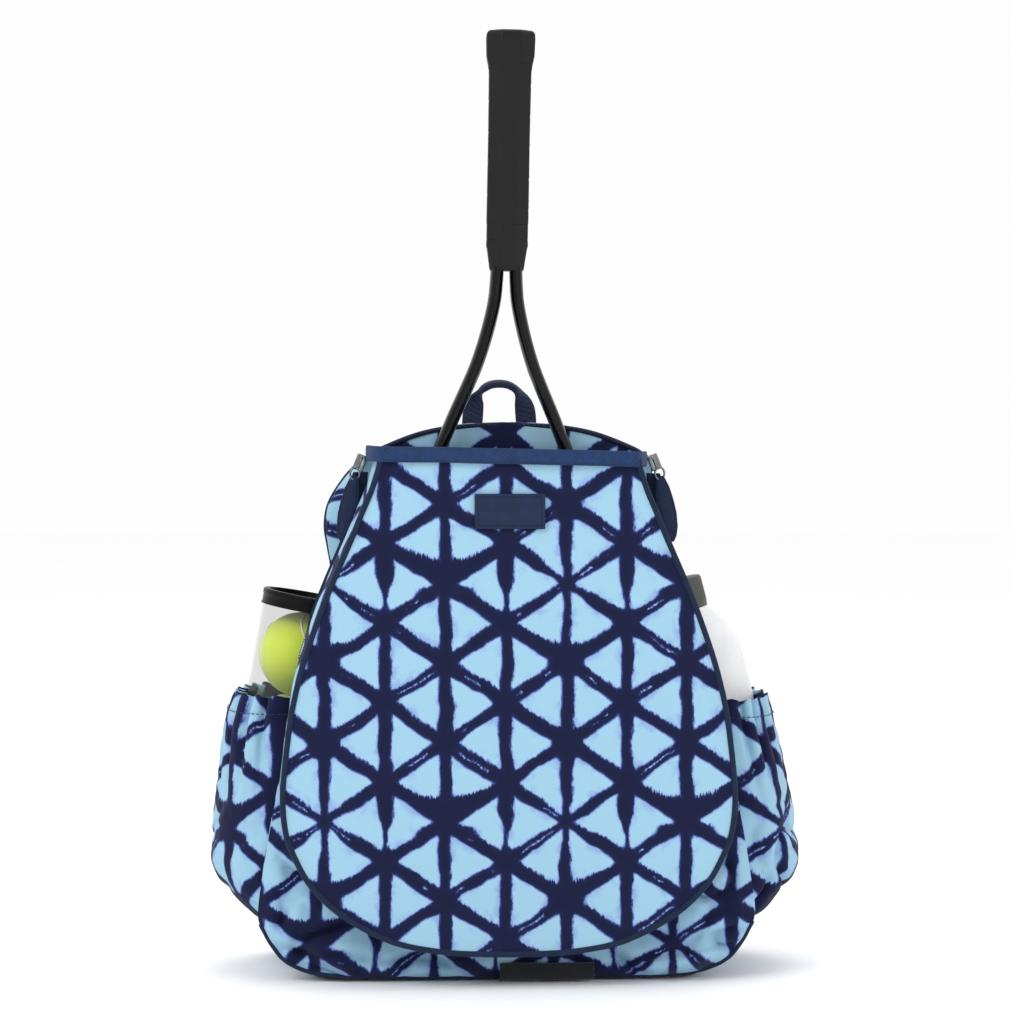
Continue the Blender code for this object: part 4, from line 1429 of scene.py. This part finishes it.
class BACKPACK_OT_side_pockets(bpy.types.Operator):
    """Gathered side pockets with elastic hems"""
    bl_idname = "backpack.side_pockets"
    bl_label = "Side pockets"

    def execute(self, context):
        _, sizes = settings()
        for side, word, rough in ((-1, "left", LEFT_POCKET), (1, "right", RIGHT_POCKET)):
            table = [tuple(p) for p in smooth(rough, 8)]
            top = table[-1][0]
            hem_low = top - 0.0135
            for name, node, low, high in (
                (f"side_pocket_cloth_{word}", f"side_pocket_{word}", table[0][0], hem_low),
                (f"pocket_hem_cloth_{word}", f"pocket_hem_{word}", hem_low, top),
            ):
                cloth = side_pocket(name, side, table, low, high, sizes.gathers, 3.0 + side)
                sew(cloth, node)
            floor = pocket_bottom(f"side_pocket_base_{word}", side, table)
            sew(floor, f"side_pocket_floor_{word}")
            line = []
            steps = 120
            for k in range(steps + 1):
                u = 0.10 + 0.80 * k / steps
                at = pocket_line(side, table, hem_low, u)
                after = pocket_line(side, table, hem_low, u + 0.005)
                before = pocket_line(side, table, hem_low, u - 0.005)
                step = (after - before).normalized()
                at = at + Vector((step.y, -step.x)) * 0.0012
                line.append(Vector((side * at.x, at.y, hem_low + 0.0006)))
            thread = stitches(f"hem_stitching_{word}", line)
            finish_piece(thread, "thread", "bag")
        return {"FINISHED"}


class BACKPACK_OT_carrying(bpy.types.Operator):
    """Back padding, shoulder straps, locks, webbing and anchors"""
    bl_idname = "backpack.carrying"
    bl_label = "Straps and back"

    def execute(self, context):
        low, high = 0.060, 0.362
        outline = Path(smooth([
            (0.0, low), (0.088, low), (0.101, 0.067), (0.107, 0.085), (0.106, 0.160),
            (0.103, 0.240), (0.097, 0.310), (0.090, 0.345), (0.076, 0.360), (0.0, high),
        ], 6))

        def pad_place(u, v):
            rim = outline(v)
            half = max(rim.x, 0.0)
            x = half * math.sin(math.pi * (u - 0.5))
            room = min(half - abs(x), rim.y - low, high - rim.y)
            crown = 0.0095 * min(1.0, max(room, 0.0) / 0.012) ** 0.5
            channel = min(abs(abs(x) - 0.030), abs((rim.y - 0.21) % 0.075 - 0.0375) + 0.004)
            crown -= 0.0042 * math.exp(-(channel / 0.0045) ** 2) * (crown > 0.004)
            return Vector((x, REAR_Y + max(crown, 0.0) - 0.0008, rim.y))

        def pad_cloth(u, v):
            point = pad_place(u, v)
            return (point.x, point.z)

        pad = grid("back_padding", pad_place, 110, 150, pad_cloth, thick=0.0012)
        finish_piece(pad, "back", "bag", ["back_pad"])
        for side, word in SIDES:
            self.strap(side, word)
            self.lower_end(side, word)
        return {"FINISHED"}

    def strap(self, side, word):
        """Padded shoulder strap with a row of stitches inside each edge."""
        path = Path(smooth([
            (0.062, REAR_Y + 0.0052, 0.398), (0.064, REAR_Y + 0.0192, 0.385),
            (0.069, REAR_Y + 0.0322, 0.350), (0.076, REAR_Y + 0.0392, 0.300),
            (0.083, REAR_Y + 0.0402, 0.250), (0.091, REAR_Y + 0.0362, 0.200),
            (0.098, REAR_Y + 0.0282, 0.160),
        ], 10))

        def half_width(v):
            return 0.029 - 0.010 * ease(0.65, 1.0, v)

        def place(u, v):
            centre = path(v)
            along = path.along(v)
            out = Vector((1, 0, 0)).cross(along).normalized()
            if out.y < 0:
                out = -out
            end = min(1.0, min(v, 1 - v) / 0.03 + 0.15) ** 0.5
            a, b = soft_square(u, 0.75, 0.7)
            pinch = 0.0010 * math.exp(-((abs(a) - 0.80) / 0.07) ** 2)
            at = centre + Vector((half_width(v) * a * end, 0, 0)) + out * ((0.0050 - pinch) * b * end)
            return Vector((side * at.x, at.y, at.z))

        def cloth(u, v):
            return (0.12 * u, path.length * v)

        strap = grid(f"strap_padding_{word}", place, 48, 120, cloth, closed=True)
        finish_piece(strap, "back", "bag", [f"shoulder_strap_{word}"])
        lines = []
        for edge in (-0.86, 0.86):
            line = []
            for k in range(60):
                v = 0.03 + 0.94 * k / 59
                at = path(v)
                line.append(Vector((side * (at.x + half_width(v) * edge), at.y + 0.0042, at.z)))
            lines.append(stitches(f"strap_thread_{word}", line, 0.004, 0.003))
        thread = join(f"strap_stitching_{word}", lines)
        finish_piece(thread, "thread", "bag")

    def lower_end(self, side, word):
        """Webbing from the strap's ladder lock down to its anchor tab."""
        wide = 0.025
        route = Path(smooth([
            (0.1040, REAR_Y + 0.0234, 0.1400), (0.112, REAR_Y + 0.0185, 0.115),
            (0.124, REAR_Y + 0.0110, 0.085), (0.136, REAR_Y + 0.0045, 0.0550),
        ], 8))

        def web(u, v):
            at = route(v) + Vector((wide * (u - 0.5), 0, 0))
            return Vector((side * at.x, at.y, at.z))

        def web_cloth(u, v):
            return (wide * u, route.length * v)

        webbing = grid(f"lower_webbing_{word}", web, 12, 60, web_cloth, thick=0.0017)
        finish_piece(webbing, "webbing", "bag", [f"strap_webbing_{word}"])
        centre = Vector((side * 0.1015, REAR_Y + 0.0240, 0.1480))
        bars = []
        rung, cheek = (0.036, 0.0048, 0.0030), (0.0036, 0.0056, 0.0190)
        for size, bevel, x, z in (
            (rung, 0.0011, 0.0, -0.0080), (rung, 0.0011, 0.0, -0.0005), (rung, 0.0011, 0.0, 0.0080),
            (cheek, 0.0012, -0.0170, 0.0), (cheek, 0.0012, 0.0170, 0.0),
        ):
            place = Matrix.Translation(centre + Vector((x, 0, z)))
            bars.append(rounded_block("bar", size, place, bevel))
        lock = join(f"strap_lock_{word}", bars)
        finish_piece(lock, "plastic", "bag", [f"ladder_lock_{word}"])
        tab = rounded_block(f"webbing_anchor_{word}", (0.034, 0.0030, 0.022),
                            Matrix.Translation((side * 0.140, REAR_Y + 0.0028, 0.0440)), 0.0009)
        finish_piece(tab, "webbing", "bag", [f"anchor_tab_{word}"])


class BACKPACK_OT_zip_pulls(bpy.types.Operator):
    """Sliders, rings and leaf-shaped leather pulls"""
    bl_idname = "backpack.zip_pulls"
    bl_label = "Zip pulls"

    def execute(self, context):
        zip_x, zip_z = ZIP_TOP
        for side, word in SIDES:
            place = Vector((side * zip_x, -0.0590, zip_z))
            turn = Matrix.Translation(place) @ Matrix.Rotation(-side * math.atan(ZIP_SLOPE), 4, "Y")
            parts = [rounded_block(name, size, turn @ Matrix.Translation(at), bevel)
                     for name, size, at, bevel in (
                         ("shell", (0.0082, 0.0022, 0.0125), (0, -0.0014, 0), 0.0010),
                         ("under", (0.0074, 0.0016, 0.0110), (0, 0.0018, 0), 0.0007),
                         ("neck", (0.0024, 0.0030, 0.0040), (0, 0, 0.0036), 0.0008))]
            arch = [turn @ Vector((0, -0.0026 - 0.0016 * math.sin(math.pi * k / 10),
                                   0.0045 - 0.0090 * k / 10)) for k in range(11)]
            parts.append(cord_along("bridge", arch, 0.0009, sides=2))
            slider = join(f"slider_{word}", parts)
            finish_piece(slider, "metal", f"slider_{word}", [f"zip_slider_{word}"])
            hang = place + Vector((side * 0.0040, -0.0020, -0.0085))
            ring = [hang + Vector((0.0036 * math.cos(a), 0.0006 * math.cos(a), 0.0046 * math.sin(a)))
                    for a in (math.tau * k / 28 for k in range(28))]
            band = cord_along(f"pull_ring_round_{word}", ring, 0.0008, closed=True, sides=2)
            finish_piece(band, "metal", f"pull_{word}", [f"pull_ring_{word}"])
            self.leaf(side, word, hang + Vector((0, 0.0004, -0.0022)))
        return {"FINISHED"}

    def leaf(self, side, word, top):
        """Folded leather leaf with a stitched edge."""
        table = [(0.0, 0.0028), (0.003, 0.0040), (0.010, 0.0058), (0.020, 0.0068), (0.030, 0.0070),
                 (0.040, 0.0058), (0.047, 0.0034), (0.0510, 0.0004)]
        length = table[-1][0]
        seam = 0.78                  # the stitches' share of the half width
        lean = Matrix.Translation(top) @ Matrix.Rotation(-side * math.radians(12), 4, "Y")

        def place(u, v):
            down = length * v
            across, deep = soft_square(u, 0.8, 0.45)
            plump = 0.0013 - 0.0004 * math.exp(-((abs(across) - seam) / 0.10) ** 2)
            y = plump * deep * min(1.0, (1 - v) * 12 + 0.2)
            return lean @ Vector((value_at(table, down) * across, y, -down))

        leaf = grid(f"pull_leaf_{word}", place, 40, 44, closed=True)
        finish_piece(leaf, "leather", f"pull_{word}", [f"zip_pull_{word}"])
        edge = []
        for sign in (1, -1):
            run = [(seam * sign * value_at(table, d), d) for d in (0.005 + 0.0036 * k for k in range(12))]
            edge += run if sign > 0 else run[::-1]
        points = [lean @ Vector((x, -0.0013, -d)) for x, d in edge]
        thread = stitches(f"pull_stitching_{word}", points, 0.0018, 0.0012, 0.00024)
        finish_piece(thread, "webbing", f"pull_{word}")


class BACKPACK_OT_racket(bpy.types.Operator):
    """Racket frame, strings and handle"""
    bl_idname = "backpack.racket"
    bl_label = "Racket"

    def execute(self, context):
        _, sizes = settings()
        stand = Matrix.Translation(RACKET_TIP) @ Matrix.Rotation(RACKET_LEAN, 4, "Y")
        shaft = [(p.x, p.y) for p in smooth(SHAFT, 6)]
        tall = HEAD_MIDDLE - HEAD_BOTTOM
        tip = [(HEAD_HALF * math.cos(a), HEAD_MIDDLE - tall * math.sin(a))
               for a in (math.pi * k / 72 for k in range(1, 72))]
        line = shaft + tip + [(-u, w) for u, w in reversed(shaft)]
        hoop = cord_along("racket_hoop", [(u, 0.0, w) for u, w in line], 0.0051, sides=5, flat=2.0,
                          matrix=stand)
        finish_piece(hoop, "lacquer", "racket", ["racket_frame"])
        half, top, drop = BRIDGE
        steps = 20
        arc = [(u, 0.0, top - drop * (u / half) ** 2)
               for u in (half * (k / steps - 1) for k in range(2 * steps + 1))]
        bridge = cord_along("racket_bridge", arc, 0.0044, sides=5, flat=2.0, matrix=stand)
        finish_piece(bridge, "lacquer", "racket", ["throat_bridge"])
        self.strings(stand, line, sizes)
        self.handle(stand)
        return {"FINISHED"}

    def strings(self, stand, line, sizes):
        """Woven string bed that passes over and under at each crossing."""
        right = sorted((w, u) for u, w in line if u > 0)
        half_bridge, top, drop = BRIDGE
        made = []

        def half_at(w):
            return value_at(right, w) - 0.0048

        def span_at(u):
            low = HEAD_MIDDLE - (HEAD_MIDDLE - HEAD_BOTTOM) * math.sqrt(
                max(0.0, 1 - (u / HEAD_HALF) ** 2)) + 0.0048
            if abs(u) < half_bridge:
                return low, top - drop * (u / half_bridge) ** 2 - 0.0044
            high = max(w for w, x in right if x >= abs(u)) - 0.004
            return low, high

        main_pitch, cross_pitch = 0.0145, 0.0148
        first_cross, by_bridge = 0.030, 0.30
        weave = 0.0007
        for i in range(sizes.mains):
            u = (i - (sizes.mains - 1) / 2) * main_pitch
            low, high = span_at(u)
            points = [(u, weave * math.cos(math.pi * (k + i)), low + (high - low) * k / 38)
                      for k in range(39)]
            made.append(cord_along(f"main_{i}", points, sizes.string, sides=1, matrix=stand))
        for i in range(sizes.crosses):
            w = first_cross + cross_pitch * i
            half = half_at(w) if w < by_bridge else 0.055
            points = [(-half + 2 * half * k / 32, -weave * math.cos(math.pi * (k + i)), w)
                      for k in range(33)]
            made.append(cord_along(f"cross_{i}", points, sizes.string, sides=1, matrix=stand))
        finish_piece(join("racket_strings", made), "string", "racket", ["string_bed"])

    def handle(self, stand):
        """Collar, finishing tape, wrap and butt cap of the handle."""
        eighth = math.radians(45)

        def octagon(name, sections, look, node, seam=0.0):
            """Eight-sided stretch with softened corners and an optional spiral seam."""
            start, end = sections[0][0], sections[-1][0]
            rows = max(12, int((end - start) / 0.0012))

            def place(u, v):
                row = min(max(v * (rows + 2) - 1, 0), rows)
                w = start + (end - start) * row / rows
                half = value_at(sections, w)
                angle = math.tau * u
                turn = (angle + eighth / 2) % eighth - eighth / 2
                radius = half / math.cos(turn)
                radius = radius + (half * 1.045 - radius) * 0.30 * ease(0.30, 0.40, abs(turn))
                if seam:
                    wind = (w / seam - u) % 1.0
                    radius -= 0.00028 * math.exp(-((wind - 0.5) / 0.035) ** 2)
                    radius += 0.00010 * math.exp(-((wind - 0.58) / 0.05) ** 2)
                cap = 0.0 if v in (0.0, 1.0) else 1.0
                return stand @ Vector((radius * cap * math.cos(angle),
                                       0.9 * radius * cap * math.sin(angle), w))

            def cloth(u, v):
                return (0.1 * u, (end - start) * v)

            piece = grid(name, place, 96, rows + 2, cloth, closed=True)
            piece.data.set_sharp_from_angle(angle=math.radians(48))
            finish_piece(piece, look, "racket", [node])

        top = RACKET_LENGTH
        octagon("handle_collar", [(0.5055, 0.0120), (0.5062, 0.0128), (0.5150, 0.0140),
                                  (0.5230, 0.0152), (0.5240, 0.0157), (0.5286, 0.0155)],
                "grip", "grip_collar")
        octagon("handle_tape", [(0.5287, 0.0153), (0.5300, 0.0155), (0.5390, 0.0155),
                                (0.5403, 0.0153)], "tape", "finishing_tape")
        octagon("handle_wrap", [(0.5404, 0.0155), (0.5420, 0.0157), (0.6100, 0.0156),
                                (top - 0.032, 0.0159), (top - 0.0255, 0.0166)],
                "grip", "grip_wrap", seam=0.0235)
        octagon("handle_butt", [(top - 0.0254, 0.0167), (top - 0.0190, 0.0180), (top - 0.0060, 0.0184),
                                (top - 0.0022, 0.0181), (top - 0.0006, 0.0172), (top, 0.0160)],
                "grip", "butt_cap")


class BACKPACK_OT_ball_can(bpy.types.Operator):
    """Clear can with three balls and a lid"""
    bl_idname = "backpack.ball_can"
    bl_label = "Ball can"

    def execute(self, context):
        radius = CAN[2]
        stand = leaning(CAN)
        length = CAN_LENGTH - 0.0025     # the lid's top stands above the tube's edge
        wall = 0.0007
        profile = [(0.0, 0.0014), (radius - 0.003, 0.0014), (radius - wall, 0.0030),
                   (radius - wall, length - 0.001), (radius - 0.0003, length),
                   (radius, length - 0.0010), (radius, 0.0022), (radius - 0.0012, 0.0004),
                   (radius - 0.003, 0.0), (0.0, 0.0)]
        tube = turned("can_shell", profile[::-1], stand)
        finish_piece(tube, "clear", "ball_can", ["can_tube"])
        for number in range(3):
            self.ball(number)
        edge, plug, top = 0.0376, 0.0340, CAN_LENGTH
        profile = [(0.0, top - 0.0036), (0.0325, top - 0.0036), (0.0335, top), (edge - 0.0010, top),
                   (edge, top - 0.0010), (edge, top - 0.0040), (edge - 0.0005, top - 0.0046),
                   (edge - 0.0005, top - 0.0105), (edge, top - 0.0110), (edge, top - 0.0120),
                   (radius + 0.0003, top - 0.0120), (radius + 0.0003, length + 0.0003),
                   (plug, length + 0.0003), (plug, top - 0.0048), (0.0, top - 0.0048)]
        lid = turned("can_lid_moulded", profile, stand, 120)
        finish_piece(lid, "lid", "can_lid", ["can_lid"])
        return {"FINISHED"}

    def ball(self, number):
        """Felt ball with its curved seam, turned its own way."""
        radius = 0.033
        centre = leaning(CAN, 0.0015 + radius + (2 * radius + 0.0003) * number)
        turn = centre @ Matrix.Rotation(1.1 + 2.0 * number, 4, "Z") @ Matrix.Rotation(0.6, 4, "X")
        work = bmesh.new()
        bmesh.ops.create_icosphere(work, subdivisions=5, radius=radius - 0.0004)
        for vert in work.verts:
            vert.co *= 1.0 + 0.006 * noise.noise(vert.co * 380.0)
        ball = object_from(f"felt_ball_{number + 1}", work, turn)
        finish_piece(ball, "felt", "ball_can", [f"tennis_ball_{number + 1}"])
        curve = []
        for k in range(120):
            t = math.tau * k / 120
            point = Vector((math.cos(t) + 0.36 * math.cos(3 * t), math.sin(t) - 0.36 * math.sin(3 * t),
                            1.20 * math.sin(2 * t)))
            curve.append(turn @ (point.normalized() * (radius - 0.0004)))
        seam = cord_along(f"ball_seam_{number + 1}", curve, 0.0008, closed=True, sides=2)
        finish_piece(seam, "seam", "ball_can")


class BACKPACK_OT_bottle(bpy.types.Operator):
    """White bottle with its cap"""
    bl_idname = "backpack.bottle"
    bl_label = "Bottle"

    def execute(self, context):
        radius = BOTTLE[2]
        stand = leaning(BOTTLE)
        shoulder = smooth([(0.0182, CAP_FROM - 0.0004), (0.0190, 0.2030), (0.0225, 0.1985),
                           (0.0285, 0.1915), (0.0330, 0.1820), (0.0352, 0.1720),
                           (radius, 0.1610)], 5)
        profile = [(0.0, CAP_FROM - 0.0004)] + [(p.x, p.y) for p in shoulder]
        profile += [(radius, 0.0060), (radius - 0.0008, 0.0025), (radius - 0.0030, 0.0004),
                    (radius - 0.006, 0.0), (0.0, 0.0)]
        shell = turned("bottle_shell", profile, stand, 120)
        finish_piece(shell, "bottle", "bottle", ["bottle_body"])
        profile = [(0.0, CAP_TO), (0.0165, CAP_TO), (0.0182, CAP_TO - 0.0006), (0.0190, CAP_TO - 0.0022),
                   (0.0190, CAP_FROM + 0.0030), (0.0186, CAP_FROM + 0.0024), (0.0186, CAP_FROM),
                   (0.0, CAP_FROM)]

        def ribs(angle, height):
            inside = CAP_FROM + 0.004 < height < CAP_TO - 0.003
            return -0.0004 * (0.5 + 0.5 * math.cos(angle * 40)) if inside else 0.0

        cap = turned("bottle_cap_ribbed", profile, stand, 240, ribs)
        finish_piece(cap, "cap", "bottle_cap", ["bottle_cap"])
        return {"FINISHED"}


class BACKPACK_PT_panel(bpy.types.Panel):
    """Steps of the racket backpack"""
    bl_label = "Racket backpack"
    bl_idname = "BACKPACK_PT_panel"
    bl_space_type = "VIEW_3D"
    bl_region_type = "UI"
    bl_category = "Backpack"

    def draw(self, context):
        column = self.layout.column()
        for group in (context.scene.backpack_colours, context.scene.backpack_sizes):
            for key in type(group).__annotations__:
                column.prop(group, key)
        for step in STEPS:
            column.operator(step.bl_idname)


STEPS = (
    BACKPACK_OT_stage, BACKPACK_OT_materials, BACKPACK_OT_body, BACKPACK_OT_top,
    BACKPACK_OT_racket_pocket, BACKPACK_OT_pocket_trim, BACKPACK_OT_side_pockets,
    BACKPACK_OT_carrying, BACKPACK_OT_zip_pulls, BACKPACK_OT_racket, BACKPACK_OT_ball_can,
    BACKPACK_OT_bottle,
)
CLASSES = (BackpackColours, BackpackSizes, *STEPS, BACKPACK_PT_panel)


def register():
    for cls in CLASSES:
        bpy.utils.register_class(cls)
    bpy.types.Scene.backpack_colours = bpy.props.PointerProperty(type=BackpackColours)
    bpy.types.Scene.backpack_sizes = bpy.props.PointerProperty(type=BackpackSizes)


def unregister():
    del bpy.types.Scene.backpack_sizes
    del bpy.types.Scene.backpack_colours
    for cls in reversed(CLASSES):
        bpy.utils.unregister_class(cls)


def main():
    register()
    for step in STEPS:
        family, name = step.bl_idname.split(".")
        getattr(getattr(bpy.ops, family), name)()


if __name__ == "__main__":
    main()
